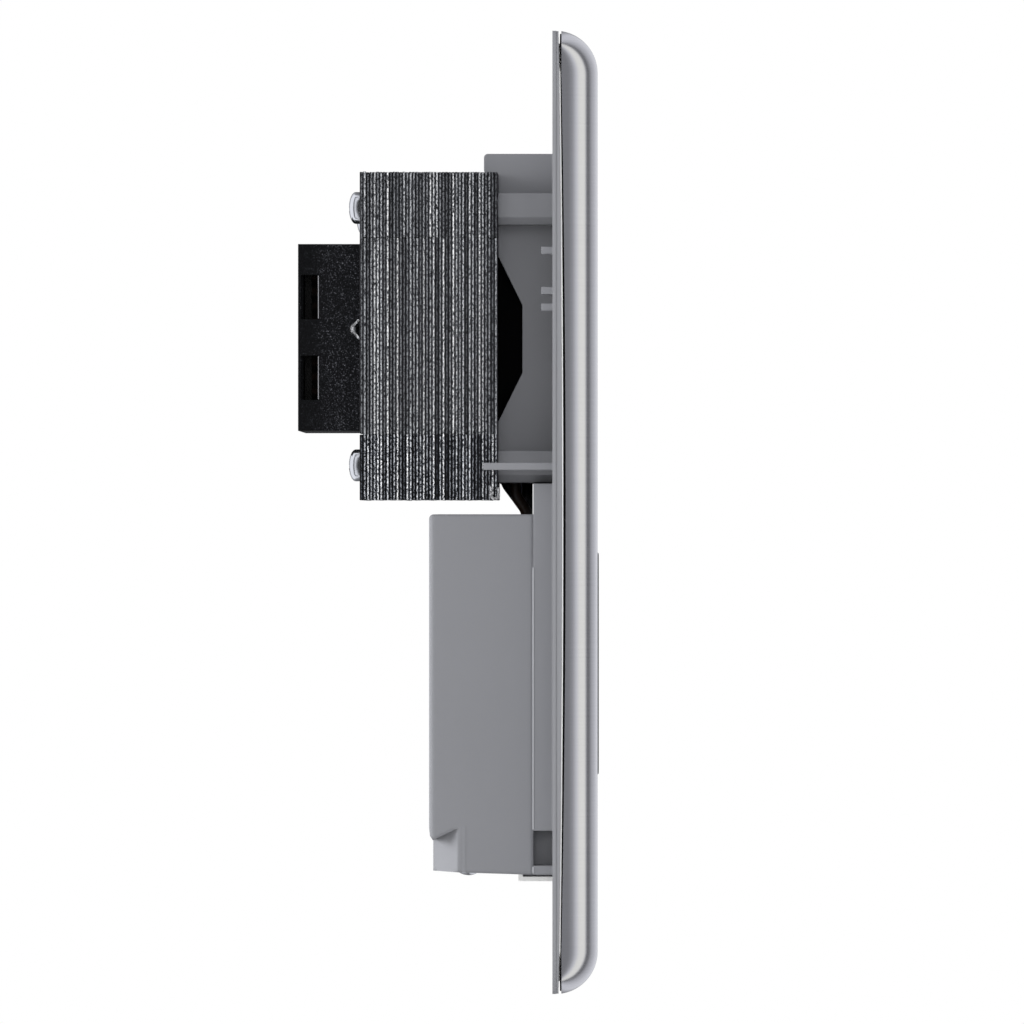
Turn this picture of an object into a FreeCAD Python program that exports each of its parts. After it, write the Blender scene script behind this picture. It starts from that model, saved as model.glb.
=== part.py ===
import FreeCAD, Part
import math
import os

import Sketcher
from FreeCAD import Vector

# Dual-voltage shaver supply unit: a pressed steel plate on a moulded chassis, with an
# isolating transformer behind its upper half and the outlets and terminals in its lower half.
# Row frame: +Z up, +X to the right seen from the front, +Y into the wall.
# Y = 0 is the wall plane, Z = 0 and X = 0 are the middle of the plate.

doc = FreeCAD.newDocument("shaver_socket")
sheet = doc.addObject("Spreadsheet::Sheet", "sizes")

SIZES = {
    # Pressed plate
    "plate_width": 86.0,
    "plate_height": 146.0,
    "plate_projection": 6.86,
    "plate_corner": 7.0,
    "press_radius": 6.45,
    "press_step": 4.4,
    "press_chamfer": 4.0,
    "rim_depth": 5.5,
    "rim_relief": 0.65,
    "steel_thickness": 1.0,
    "fixing_spacing": 120.6,
    "fixing_radius": 2.0,
    "countersink_radius": 3.6,
    "fixing_lead_in": 0.85,
    # Chassis moulding
    "flange_thickness": 0.6,
    "flange_corner": 6.0,
    "spigot_rise": 0.35,
    "spigot_bow": 0.51,
    "spigot_inset": 1.0,
    "chassis_wall": 1.8,
    "well_width": 62.0,
    "well_top": 4.4,
    "well_depth": 2.9,
    "floor_front": 0.7,
    "floor_back": 1.3,
    "side_wall_face": 20.6,
    "side_wall": 1.6,
    "side_wall_base": 4.5,
    "notch_base": 13.9,
    "notch_reach": 3.7,
    "notch_slope": 7.5,
    "notch_straight": 10.4,
    "lip_thickness": 3.0,
    "lip_reach": 10.5,
    "tip_radius": 0.6,
    "boss_width": 5.2,
    "boss_height": 4.8,
    "boss_drop": 0.2,
    "boss_chamfer": 1.1,
    "fin_inner": 30.5,
    "fin_width": 2.8,
    "fin_thickness": 1.1,
    "fin_height": 7.0,
    "fin_reach": 10.5,
    "rib_inner": 35.0,
    "rib_width": 3.0,
    "rib_reach": 1.7,
    "rib_thickness": 1.1,
    "upper_rib": 39.7,
    "middle_rib": 33.6,
    "lower_rib": 31.1,
    "latch_bottom": 53.8,
    "latch_height": 5.3,
    "latch_pocket": 3.6,
    "cover_boss_half": 2.6,
    "cover_boss_reach": 7.0,
    # Insulating liner
    "liner_thickness": 0.24,
    "liner_inset": 2.0,
    "liner_side_inset": 0.5,
    "liner_corner": 4.5,
    # Outlet moulding
    "insert_width": 50.0,
    "insert_height": 34.3,
    "insert_centre": 23.15,
    "insert_proud": 0.24,
    "insert_gap": 0.15,
    "insert_corner": 1.5,
    "insert_edge": 0.3,
    "insert_lip": 2.0,
    "insert_lip_thickness": 1.2,
    "face_thickness": 3.9,
    "insert_wall": 1.6,
    "rail_width": 2.0,
    "row_spacing": 16.5,
    "seat_gap": 0.1,
    # Outlet apertures
    "pin_aperture": 2.9,
    "pin_spacing": 17.3,
    "blade_spacing": 13.2,
    "blade_slot": 2.4,
    "blade_length": 7.4,
    "blade_tilt": 30.0,
    # Shutters
    "shutter_travel": 6.2,
    "running_gap": 0.3,
    "shutter_margin": 1.2,
    "aperture_gap": 0.15,
    "ramp_depth": 1.1,
    "spring_strip": 0.25,
    "spring_height": 1.4,
    "spring_half_span": 5.5,
    # Contacts
    "contact_strip": 0.5,
    "contact_height": 6.0,
    "contact_front": 1.8,
    "contact_throat": 3.8,
    "contact_straight": 6.5,
    "contact_back": 12.5,
    "pin_throat": 1.6,
    "blade_throat": 0.6,
    "contact_body": 2.5,
    "contact_flare": 1.2,
    "tag_top": 6.0,
    "tag_width": 2.4,
    "tag_front": 2.8,
    "tag_crank": 8.4,
    "rib_gap": 0.2,
    "contact_rib": 1.0,
    "contact_rib_half": 2.1,
    "contact_rib_reach": 7.0,
    # Rear cover
    "cover_top": 0.3,
    "cover_bottom": 55.2,
    "cover_back": 18.8,
    "cover_wall": 1.8,
    "overhang_edge": 49.95,
    "overhang_root": 48.1,
    "terminal_back": 18.2,
    "terminal_bevel": 3.8,
    "cover_edge_radius": 0.7,
    "bottom_rise": 0.5,
    "cover_screw_spacing": 53.0,
    "cover_screw_height": 23.0,
    "cover_screw_seat": 10.0,
    "cover_inner_step": 46.3,
    "lead_notch": 2.1,
    "lead_notch_half": 20.0,
    # Terminals
    "terminal_spacing": 18.0,
    "terminal_width": 7.0,
    "terminal_height": 6.8,
    "terminal_depth": 8.0,
    "terminal_centre": 49.6,
    "wire_tunnel": 1.6,
    "wire_hole": 2.3,
    "terminal_screw_depth": 12.9,
    "terminal_screw_shank": 1.5,
    "terminal_screw_head": 2.0,
    "terminal_screw_proud": 0.65,
    "barrier_thickness": 1.2,
    "strap_width": 8.0,
    "strap_thickness": 0.7,
    "strap_reach": 5.3,
    "strap_base": 57.4,
    "strap_foot": 8.7,
    "strap_rise": 50.0,
    # Transformer core
    "core_standoff": 8.4,
    "core_centre": 26.9,
    "lamination": 0.5,
    "lamination_pairs": 21,
    "leg_width": 20.0,
    "side_leg": 10.0,
    "yoke": 10.0,
    "window_width": 10.0,
    "window_height": 30.0,
    "sheet_step": 0.25,
    "core_hole_inset": 5.3,
    "core_hole_radius": 1.8,
    # Coil
    "coil_gap": 0.2,
    "bobbin_wall": 1.0,
    "bobbin_half_height": 13.4,
    "bobbin_half_width": 18.6,
    "bobbin_half_depth": 18.9,
    "winding_recess": 0.7,
    "winding_corner": 2.5,
    "winding_gap": 0.1,
    "coil_cover_half_width": 19.7,
    "coil_cover_half_height": 14.35,
    "coil_cover_wall": 0.8,
    "coil_cover_reach": 39.1,
    "coil_cover_front": 0.9,
    "vent_height": 6.8,
    "vent_spacing": 12.4,
    "vent_depth": 2.6,
    "vent_edge": 0.5,
    "cutout_width": 7.0,
    "cutout_height": 10.0,
    "cutout_thickness": 1.0,
    "felt_side": 11.0,
    "felt_offset": 9.7,
    "felt_thickness": 1.1,
    # Fasteners and small metal
    "core_screw_shank": 1.5,
    "core_screw_head": 2.45,
    "core_screw_head_height": 1.75,
    "core_screw_grip": 6.4,
    "thread_gap": 0.05,
    "cover_screw_shank": 1.25,
    "cover_screw_head": 2.3,
    "cover_screw_head_height": 1.6,
    "cover_screw_reach": 1.5,
    "tag_strip": 0.4,
    "tag_length": 3.4,
    "tag_height": 2.2,
    # Leads
    "lead_radius": 0.85,
    "lead_bend": 3.0,
    "lead_depth": 3.95,
    "lead_near": 5.7,
    "lead_far": 7.3,
}

# Share of a lead's shorter run that a bend may use, and the flats round its section.
BEND_SHARE = 0.45
LEAD_FLATS = 8
# Flats round a screw's shank and round the holes it fills.
SHANK_FLATS = 12
# Chords that stand for a slightly bowed edge.
BOW_CHORDS = 6


def fill_sheet():
    for row, (name, value) in enumerate(SIZES.items(), start=1):
        sheet.set(f"A{row}", name)
        sheet.set(f"B{row}", str(value))
        sheet.setAlias(f"B{row}", name)
    doc.recompute()


class Length:
    """A number together with the formula on the sheet that drives it."""

    def __init__(self, formula, value):
        self.formula = formula
        self.value = float(value)

    def __add__(self, other):
        other = length(other)
        return Length(f"({self.formula} + {other.formula})", self.value + other.value)

    def __sub__(self, other):
        other = length(other)
        return Length(f"({self.formula} - {other.formula})", self.value - other.value)

    def __mul__(self, other):
        other = length(other)
        return Length(f"({self.formula} * {other.formula})", self.value * other.value)

    def __truediv__(self, other):
        other = length(other)
        return Length(f"({self.formula} / {other.formula})", self.value / other.value)

    def __neg__(self):
        return Length(f"(0 - {self.formula})", -self.value)

    def root(self):
        return Length(f"sqrt({self.formula})", math.sqrt(self.value))

    def cosine(self):
        return Length(f"cos({self.formula})", math.cos(math.radians(self.value)))

    def sine(self):
        return Length(f"sin({self.formula})", math.sin(math.radians(self.value)))


def length(value):
    return value if isinstance(value, Length) else Length(repr(float(value)), value)


class Sizes:
    """The named cells of the sheet, as lengths."""

    def __getattr__(self, name):
        return Length(f"sizes.{name}", getattr(sheet, name))


size = Sizes()

PLANES = {"front": "XZ_Plane", "side": "YZ_Plane", "top": "XY_Plane"}
# True where a direction runs against its sketch plane's normal.
BACKWARDS = {"forward": False, "back": True, "right": False, "left": True, "up": False, "down": True}


def new_body(name):
    body = doc.addObject("PartDesign::Body", name)
    body.Label = name
    return body


def sketch(body, name, view, at=0, origin=(0, 0)):
    """A sketch on an origin plane: front views lie at a Y, side views at an X, top views at a Z."""
    plane = next(item for item in body.Origin.OriginFeatures if item.Role == PLANES[view])
    outline = body.newObject("Sketcher::SketchObject", name)
    outline.AttachmentSupport = [(plane, "")]
    outline.MapMode = "FlatFace"
    offset = -length(at) if view == "front" else length(at)
    outline.setExpression("AttachmentOffset.Base.x", length(origin[0]).formula)
    outline.setExpression("AttachmentOffset.Base.y", length(origin[1]).formula)
    outline.setExpression("AttachmentOffset.Base.z", offset.formula)
    return outline


def bind(outline, constraints):
    """Adds constraints, each with the length that drives it or None."""
    first = outline.ConstraintCount
    outline.addConstraint([constraint for constraint, driver in constraints])
    for index, (constraint, driver) in enumerate(constraints, start=first):
        if driver is not None:
            outline.setExpression(f"Constraints[{index}]", driver.formula)


def place_point(edge, end, point):
    """Ties an edge's end or centre to its two distances from the sketch's origin."""
    across, up = length(point[0]), length(point[1])
    return [
        (Sketcher.Constraint("DistanceX", -1, 1, edge, end, across.value), across),
        (Sketcher.Constraint("DistanceY", -1, 1, edge, end, up.value), up),
    ]


def polygon(outline, points):
    corners = [Vector(length(x).value, length(y).value, 0) for x, y in points]
    count = len(corners)
    first = outline.GeometryCount
    lines = [Part.LineSegment(corners[i], corners[(i + 1) % count]) for i in range(count)]
    outline.addGeometry(lines, False)
    constraints = []
    for i in range(count):
        constraints.append((Sketcher.Constraint("Coincident", first + i, 2, first + (i + 1) % count, 1), None))
    for i, point in enumerate(points):
        constraints += place_point(first + i, 1, point)
    bind(outline, constraints)


def rectangle(outline, left, right, bottom, top):
    polygon(outline, [(left, bottom), (right, bottom), (right, top), (left, top)])


def centred(outline, x, y, half_width, half_height):
    """A rectangle around a centre."""
    x, y = length(x), length(y)
    rectangle(outline, x - half_width, x + half_width, y - half_height, y + half_height)


def turned(outline, x, y, width, height, angle):
    """A rectangle around a centre, turned by an angle."""
    x, y, cosine, sine = length(x), length(y), angle.cosine(), angle.sine()
    corners = []
    for across, up in ((-1, -1), (1, -1), (1, 1), (-1, 1)):
        run = width * (across / 2)
        rise = height * (up / 2)
        corners.append((x + run * cosine - rise * sine, y + run * sine + rise * cosine))
    polygon(outline, corners)


def circle(outline, x, y, radius):
    radius = length(radius)
    centre = Vector(length(x).value, length(y).value, 0)
    edge = outline.GeometryCount
    outline.addGeometry(Part.Circle(centre, Vector(0, 0, 1), radius.value), False)
    bind(outline, place_point(edge, 3, (x, y)) + [(Sketcher.Constraint("Radius", edge, radius.value), radius)])


def ring(outline, x, y, radius):
    """A round section as flats, for shanks and the holes that they fill."""
    x, y, radius = length(x), length(y), length(radius)
    turns = [2 * math.pi * (i + 0.5) / SHANK_FLATS for i in range(SHANK_FLATS)]
    polygon(outline, [(x + radius * math.cos(turn), y + radius * math.sin(turn)) for turn in turns])


def bow_points(ends, bow, half_height, reach=None):
    """Points along an arc that bulges forward by bow at its middle, from its top to its foot.

    The arc ends at half_height. The points stop at reach, where that is given.
    """
    half = length(half_height)
    reach = half if reach is None else reach
    radius = (half * half + bow * bow) / (bow * 2)
    points = []
    for step in range(BOW_CHORDS + 1):
        up = reach * (1 - 2 * step / BOW_CHORDS)
        drop = radius - (radius * radius - up * up).root()
        points.append((ends - bow + drop, up))
    return points


def cut_corners(outline, half_width, half_height, cut):
    """A centred rectangle with its four corners cut off at 45 degrees."""
    short = half_width - cut
    low = half_height - cut
    quarter = [(half_width, low), (short, half_height)]
    mirrored = [(-x, y) for x, y in reversed(quarter)]
    upper = quarter + mirrored
    polygon(outline, upper + [(-x, -y) for x, y in upper])


def bowed_strip(outline, straight, ends, bow, half_height):
    """A side profile from a straight back edge to a front edge that bulges at its middle."""
    half = length(half_height)
    polygon(outline, bow_points(ends, bow, half) + [(straight, -half), (straight, half)])


def bowed_sheet(outline, ends, bow, half_height, reach, thickness):
    """A side profile of even thickness, bowed like the arc that it lies against."""
    back = bow_points(ends, bow, half_height, reach)
    polygon(outline, back + [(y - thickness, up) for y, up in reversed(back)])


def settle(body, feature, before, grows):
    """Recomputes, and stops where a feature failed or changed nothing."""
    doc.recompute()
    if any(word in feature.State for word in ("Invalid", "Error")) or feature.Shape.isNull():
        raise RuntimeError(f"{body.Label}: {feature.Name} failed")
    change = feature.Shape.Volume - before
    if (change if grows else -change) < 1e-6:
        raise RuntimeError(f"{body.Label}: {feature.Name} changed nothing")
    body.Tip = feature
    return feature


def volume(body):
    return 0.0 if body.Tip is None or body.Shape.isNull() else body.Shape.Volume


def pad(body, outline, depth, way=None):
    """Raises an outline one way, or half each way where no way is given."""
    before = volume(body)
    feature = body.newObject("PartDesign::Pad", "pad")
    feature.Profile = outline
    feature.setExpression("Length", length(depth).formula)
    if way is None:
        feature.SideType = "Symmetric"
    else:
        feature.Reversed = BACKWARDS[way]
    return settle(body, feature, before, True)


def pocket(body, outline, depth, way=None):
    """Cuts an outline one way, or half each way where no way is given."""
    before = volume(body)
    feature = body.newObject("PartDesign::Pocket", "pocket")
    feature.Profile = outline
    feature.setExpression("Length", length(depth).formula)
    if way is None:
        feature.SideType = "Symmetric"
    else:
        feature.Reversed = not BACKWARDS[way]
    return settle(body, feature, before, False)


def groove(body, outline, axis):
    before = volume(body)
    feature = body.newObject("PartDesign::Groove", "groove")
    feature.Profile = outline
    feature.ReferenceAxis = (outline, [axis])
    feature.Angle = 360
    return settle(body, feature, before, False)


def repeat(body, originals, role, spacing, count):
    """Repeats features along an axis, at an equal spacing."""
    before = volume(body)
    axis = next(item for item in body.Origin.OriginFeatures if item.Role == role)
    feature = body.newObject("PartDesign::LinearPattern", "pattern")
    feature.Originals = originals
    feature.Direction = (axis, [""])
    feature.Mode = "Spacing"
    feature.setExpression("Offset", length(spacing).formula)
    feature.setExpression("Occurrences", length(count).formula)
    return settle(body, feature, before, True)


def near(first, second):
    return abs(first - second) < 0.01


def runs_along(edge, axis):
    """True for a straight edge along the X, Y or Z axis."""
    if not isinstance(edge.Curve, Part.Line):
        return False
    return abs(getattr(edge.Curve.Direction, axis)) > 0.999


def dress(body, kind, radius, wanted):
    """Rounds or bevels the edges of the body that a test picks out."""
    base = body.Tip
    names = [f"Edge{i}" for i, edge in enumerate(base.Shape.Edges, start=1) if wanted(edge)]
    if not names:
        raise RuntimeError(f"{body.Label}: no edge to dress")
    feature = body.newObject(f"PartDesign::{kind}", kind.lower())
    feature.Base = (base, names)
    feature.setExpression("Radius" if kind == "Fillet" else "Size", length(radius).formula)
    doc.recompute()
    if any(word in feature.State for word in ("Invalid", "Error")):
        raise RuntimeError(f"{body.Label}: {feature.Name} failed")
    body.Tip = feature
    return feature


def tube(name, points):
    """A lead through points: straight lengths, joined by bends that meet them smoothly."""
    radius = size.lead_radius.value
    corners = [Vector(*[length(value).value for value in point]) for point in points]
    turn = Part.makePolygon(
        [
            corners[0] + Vector(radius * math.cos(angle), radius * math.sin(angle), 0)
            for angle in (2 * math.pi * (i % LEAD_FLATS) / LEAD_FLATS for i in range(LEAD_FLATS + 1))
        ]
    )
    section = Part.Face(turn)
    lengths = []
    path = 0.0
    start = corners[0]
    for before, corner, after in zip(corners, corners[1:], corners[2:]):
        into = (corner - before).normalize()
        out = (after - corner).normalize()
        angle = into.getAngle(out)
        room = BEND_SHARE * min((corner - before).Length, (after - corner).Length)
        bend = min(size.lead_bend.value, room / math.tan(angle / 2))
        reach = bend * math.tan(angle / 2)
        first = corner - into * reach
        centre = corner + (out - into).normalize() * (bend / math.cos(angle / 2))
        axis = into.cross(out).normalize()
        lengths.append(section.extrude(first - start))
        section = section.translated(first - start)
        lengths.append(section.revolve(centre, axis, math.degrees(angle)))
        section = section.rotated(centre, axis, math.degrees(angle))
        path += (first - start).Length + bend * angle
        start = corner + out * reach
    lengths.append(section.extrude(corners[-1] - start))
    path += (corners[-1] - start).Length
    lead = doc.addObject("Part::Feature", name)
    lead.Label = name
    lead.Shape = lengths[0].multiFuse(lengths[1:])
    lead.Placement = FreeCAD.Placement()
    expected = section.Area * path
    if abs(lead.Shape.Volume - expected) > 0.01 * expected:
        raise RuntimeError(f"{name}: its volume doesn't match its section and length")
    return lead


# Places worked out from the sizes. Distances in front of the wall plane are negative in Y.

def y_front():
    return -size.plate_projection


def y_plate_back():
    return y_front() + size.steel_thickness


def y_rim():
    return size.rim_depth - size.plate_projection


def y_spigot():
    return -(size.flange_thickness + size.spigot_rise)


def y_face():
    return -(size.plate_projection + size.insert_proud)


def y_face_back():
    return y_face() + size.face_thickness


def y_insert_back():
    return -(size.floor_front + size.seat_gap)


def z_insert():
    return -size.insert_centre


def z_row(sign):
    return z_insert() + size.row_spacing * (sign / 2)


def chamber_half():
    return size.insert_width / 2 - size.insert_wall


def chamber_low():
    """Distance from the insert's middle to the near side of either shutter chamber."""
    return size.rail_width / 2


def chamber_high():
    return size.insert_height / 2 - size.insert_wall


def core_half_height():
    return size.window_height / 2 + size.yoke


def core_half_width():
    return size.leg_width / 2 + size.window_width + size.side_leg


def stack():
    return size.lamination * size.lamination_pairs * 2


def y_core_back():
    return size.core_standoff + stack()


def y_core_middle():
    return size.core_standoff + stack() / 2


def hole_x():
    return core_half_width() - size.core_hole_inset


def hole_z():
    return core_half_height() - size.core_hole_inset


def blade_half_reach():
    """Half the width that a pair of crossed slots takes up."""
    return size.blade_slot / 2 * size.blade_tilt.cosine() + size.blade_length / 2 * size.blade_tilt.sine()


def fixing_holes(body, front, radius, shape=circle):
    """The two holes for the box screws, through whatever lies in front of the wall plane."""
    outline = sketch(body, "fixing_holes", "front", front)
    for sign in (-1, 1):
        shape(outline, 0, size.fixing_spacing * (sign / 2), radius)
    return pocket(body, outline, size.plate_projection, "back")


def insert_opening(body, front, way, depth):
    """The rectangular opening that the outlet moulding fits."""
    outline = sketch(body, "insert_opening", "front", front)
    gap = size.insert_gap
    centred(outline, 0, z_insert(), size.insert_width / 2 + gap, size.insert_height / 2 + gap)
    return pocket(body, outline, depth, way)


def strap_slot(body):
    """The slot through the flange for the earth strap."""
    outline = sketch(body, "strap_slot", "front", y_front())
    middle = -(size.strap_base - size.strap_thickness / 2)
    gap = size.insert_gap
    centred(outline, 0, middle, size.strap_width / 2 + gap, size.strap_thickness / 2 + gap)
    return pocket(body, outline, size.plate_projection, "back")


# Pressed steel plate: a flat face whose rim is drawn back in one round sweep.

def front_plate():
    body = new_body("front_plate")
    rise = size.press_radius - size.rim_depth
    overhang = size.press_radius - (size.press_radius * size.press_radius - rise * rise).root()
    half_width = size.plate_width / 2 + overhang
    half_height = size.plate_height / 2 + overhang
    blank_depth = size.press_radius + size.steel_thickness
    y_back = y_front() + blank_depth
    blank = sketch(body, "blank", "front", y_back)
    rectangle(blank, -half_width, half_width, -half_height, half_height)
    pad(body, blank, blank_depth, "forward")
    dress(body, "Fillet", size.plate_corner, lambda edge: runs_along(edge, "y"))
    face = y_front().value
    dress(body, "Fillet", size.press_radius, lambda edge: near(edge.BoundBox.YMax, face))
    wall = size.steel_thickness
    inside = sketch(body, "inside", "front", y_back)
    corner = size.plate_corner - wall * 2
    cut_corners(inside, half_width - wall, half_height - wall, corner)
    step = size.press_radius - size.press_step
    pocket(body, inside, step, "forward")
    hollow = sketch(body, "hollow", "front", y_back)
    inset = wall + size.press_step
    cut_corners(hollow, half_width - inset, half_height - inset, corner / 2)
    pocket(body, hollow, size.press_radius, "forward")
    shelf = (y_back - step).value
    hollow_x = (half_width - inset).value
    hollow_z = (half_height - inset).value
    dress(
        body,
        "Chamfer",
        size.press_chamfer,
        lambda edge: near(edge.BoundBox.YLength, 0)
        and near(edge.CenterOfMass.y, shelf)
        and abs(edge.CenterOfMass.x) < hollow_x + 0.01
        and abs(edge.CenterOfMass.z) < hollow_z + 0.01,
    )
    # The rim is trimmed to its depth, and eased forward along both long sides.
    trim = sketch(body, "rim_trim", "front", y_back)
    rectangle(trim, -half_width - 1, half_width + 1, -half_height - 1, half_height + 1)
    pocket(body, trim, blank_depth - size.rim_depth, "forward")
    relief = sketch(body, "rim_relief", "side")
    bowed_strip(relief, y_rim() + 1, y_rim(), size.rim_relief, size.plate_height / 2 - size.plate_corner)
    pocket(body, relief, size.plate_width * 2)
    insert_opening(body, y_rim(), "forward", size.rim_depth)
    side = (size.insert_width / 2 + size.insert_gap).value
    dress(
        body,
        "Fillet",
        size.insert_corner,
        lambda edge: runs_along(edge, "y") and near(abs(edge.CenterOfMass.x), side),
    )
    fixing_holes(body, y_front(), size.fixing_radius)
    for sign in (-1, 1):
        sink = sketch(body, "countersink", "side", 0, (y_front(), size.fixing_spacing * (sign / 2)))
        depth = size.countersink_radius - size.fixing_radius
        polygon(sink, [(0, 0), (0, size.countersink_radius), (depth, size.fixing_radius), (depth, 0)])
        groove(body, sink, "H_Axis")
    return body


# Thin insulating sheet between the plate and the chassis, bowed like the chassis' front.

def insulating_liner():
    body = new_body("insulating_liner")
    spigot_half = size.plate_height / 2 - size.spigot_inset
    half_height = size.plate_height / 2 - size.liner_inset
    strip = sketch(body, "bowed_sheet", "side")
    bowed_sheet(strip, y_spigot(), size.spigot_bow, spigot_half, half_height, size.liner_thickness)
    pad(body, strip, size.plate_width - size.liner_side_inset * 2)
    dress(body, "Chamfer", size.liner_corner, lambda edge: runs_along(edge, "y"))
    insert_opening(body, 0, "forward", size.plate_projection)
    strap_slot(body)
    fixing_holes(body, y_front(), size.fixing_radius + size.aperture_gap * 2, ring)
    return body


# Moulded chassis: flange and spigot, a well with its contact floor, and the transformer's seat.

def chassis():
    body = new_body("chassis")
    chassis_flange(body)
    chassis_seat(body)
    chassis_bosses(body)
    chassis_well(body)
    chassis_floor(body)
    chassis_openings(body)
    return body


def chassis_flange(body):
    half_width = size.plate_width / 2
    half_height = size.plate_height / 2
    spigot = sketch(body, "spigot", "side")
    bowed_strip(spigot, -size.flange_thickness, y_spigot(), size.spigot_bow, half_height - size.spigot_inset)
    pad(body, spigot, (half_width - size.spigot_inset) * 2)
    dress(body, "Fillet", size.flange_corner - size.spigot_inset, lambda edge: runs_along(edge, "y"))
    flange = sketch(body, "flange", "front")
    rectangle(flange, -half_width, half_width, -half_height, half_height)
    pad(body, flange, size.flange_thickness, "forward")
    side = half_width.value
    dress(
        body,
        "Fillet",
        size.flange_corner,
        lambda edge: runs_along(edge, "y") and near(abs(edge.CenterOfMass.x), side),
    )


def chassis_seat(body):
    """Side walls beside the coil, each cut away towards the core, and the lip over the core."""
    wall_back = size.core_standoff - size.seat_gap
    lip_base = size.core_centre + core_half_height() + size.seat_gap
    lip_top = lip_base + size.lip_thickness
    inner = size.side_wall_face
    outer = inner + size.side_wall
    walls = sketch(body, "side_walls", "front")
    for sign in (-1, 1):
        rectangle(walls, inner * sign, outer * sign, size.side_wall_base, lip_top)
    pad(body, walls, wall_back, "back")
    notch = sketch(body, "coil_notch", "side")
    low = size.notch_base
    high = low + size.notch_slope * 2 + size.notch_straight
    deep = wall_back - size.notch_reach
    outside = wall_back + 1
    polygon(
        notch,
        [
            (outside, low),
            (wall_back, low),
            (deep, low + size.notch_slope),
            (deep, high - size.notch_slope),
            (wall_back, high),
            (outside, high),
        ],
    )
    pocket(body, notch, outer * 2 + 2)
    lip = sketch(body, "lip", "front")
    rectangle(lip, -outer, outer, lip_base, lip_top)
    pad(body, lip, size.lip_reach, "back")
    tip = size.lip_reach.value
    dress(body, "Fillet", size.tip_radius, lambda edge: runs_along(edge, "x") and near(edge.CenterOfMass.y, tip))
    fins = sketch(body, "fins", "front")
    half = size.fin_thickness / 2
    for sign in (-1, 1):
        middle = (size.fin_inner + size.fin_width / 2) * sign
        centred(fins, middle, size.fin_height, size.fin_width / 2, half)
    pad(body, fins, size.fin_reach, "back")
    ribs = sketch(body, "edge_ribs", "front")
    for height in (size.upper_rib, size.middle_rib, size.lower_rib):
        for sign in (-1, 1):
            middle = (size.rib_inner + size.rib_width / 2) * sign
            centred(ribs, middle, height, size.rib_width / 2, size.rib_thickness / 2)
    pad(body, ribs, size.rib_reach, "back")


def chassis_bosses(body):
    """Bosses for the core's four screws, each with its lower outer corner bevelled."""
    wall_back = size.core_standoff - size.seat_gap
    inner = size.side_wall_face + size.side_wall / 2
    outer = size.side_wall_face + size.side_wall + size.boss_width
    half = size.boss_height / 2
    bosses = sketch(body, "core_bosses", "front")
    for sign in (-1, 1):
        for level in (-1, 1):
            height = size.core_centre + hole_z() * level - size.boss_drop
            polygon(
                bosses,
                [
                    (inner * sign, height + half),
                    (outer * sign, height + half),
                    (outer * sign, height - half + size.boss_chamfer),
                    ((outer - size.boss_chamfer) * sign, height - half),
                    (inner * sign, height - half),
                ],
            )
    pad(body, bosses, wall_back, "back")
    pilots = sketch(body, "core_pilots", "front", wall_back)
    for sign in (-1, 1):
        for level in (-1, 1):
            centre = (hole_x() * sign, size.core_centre + hole_z() * level)
            ring(pilots, centre[0], centre[1], size.core_screw_shank + size.thread_gap)
    pocket(body, pilots, size.core_screw_grip + size.flange_thickness, "forward")


def chassis_well(body):
    """The walled well under the rear cover, with a latch window low on each side."""
    half = size.well_width / 2
    wall = size.chassis_wall
    step = -(size.latch_bottom - size.latch_height - wall)
    block = sketch(body, "well", "front")
    rectangle(block, -half, half, -size.cover_bottom, size.well_top)
    pad(body, block, size.well_depth, "back")
    inside = sketch(body, "well_inside", "front", size.well_depth)
    rectangle(inside, -half + wall, half - wall, step, -(size.cover_top + wall))
    rectangle(inside, -half + wall, half - wall, -size.cover_top, size.well_top - wall)
    pocket(body, inside, size.well_depth, "forward")
    lower = sketch(body, "terminal_well", "front", size.well_depth)
    inner = half - wall - size.latch_pocket
    rectangle(lower, -inner, inner, -size.cover_bottom + wall, step + 1)
    pocket(body, lower, size.well_depth, "forward")
    windows = sketch(body, "latch_windows", "front")
    low = -size.latch_bottom
    for sign in (-1, 1):
        rectangle(windows, (half - size.latch_pocket) * sign, (half + 1) * sign, low, low + size.latch_height)
    pocket(body, windows, size.well_depth, "back")


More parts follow.
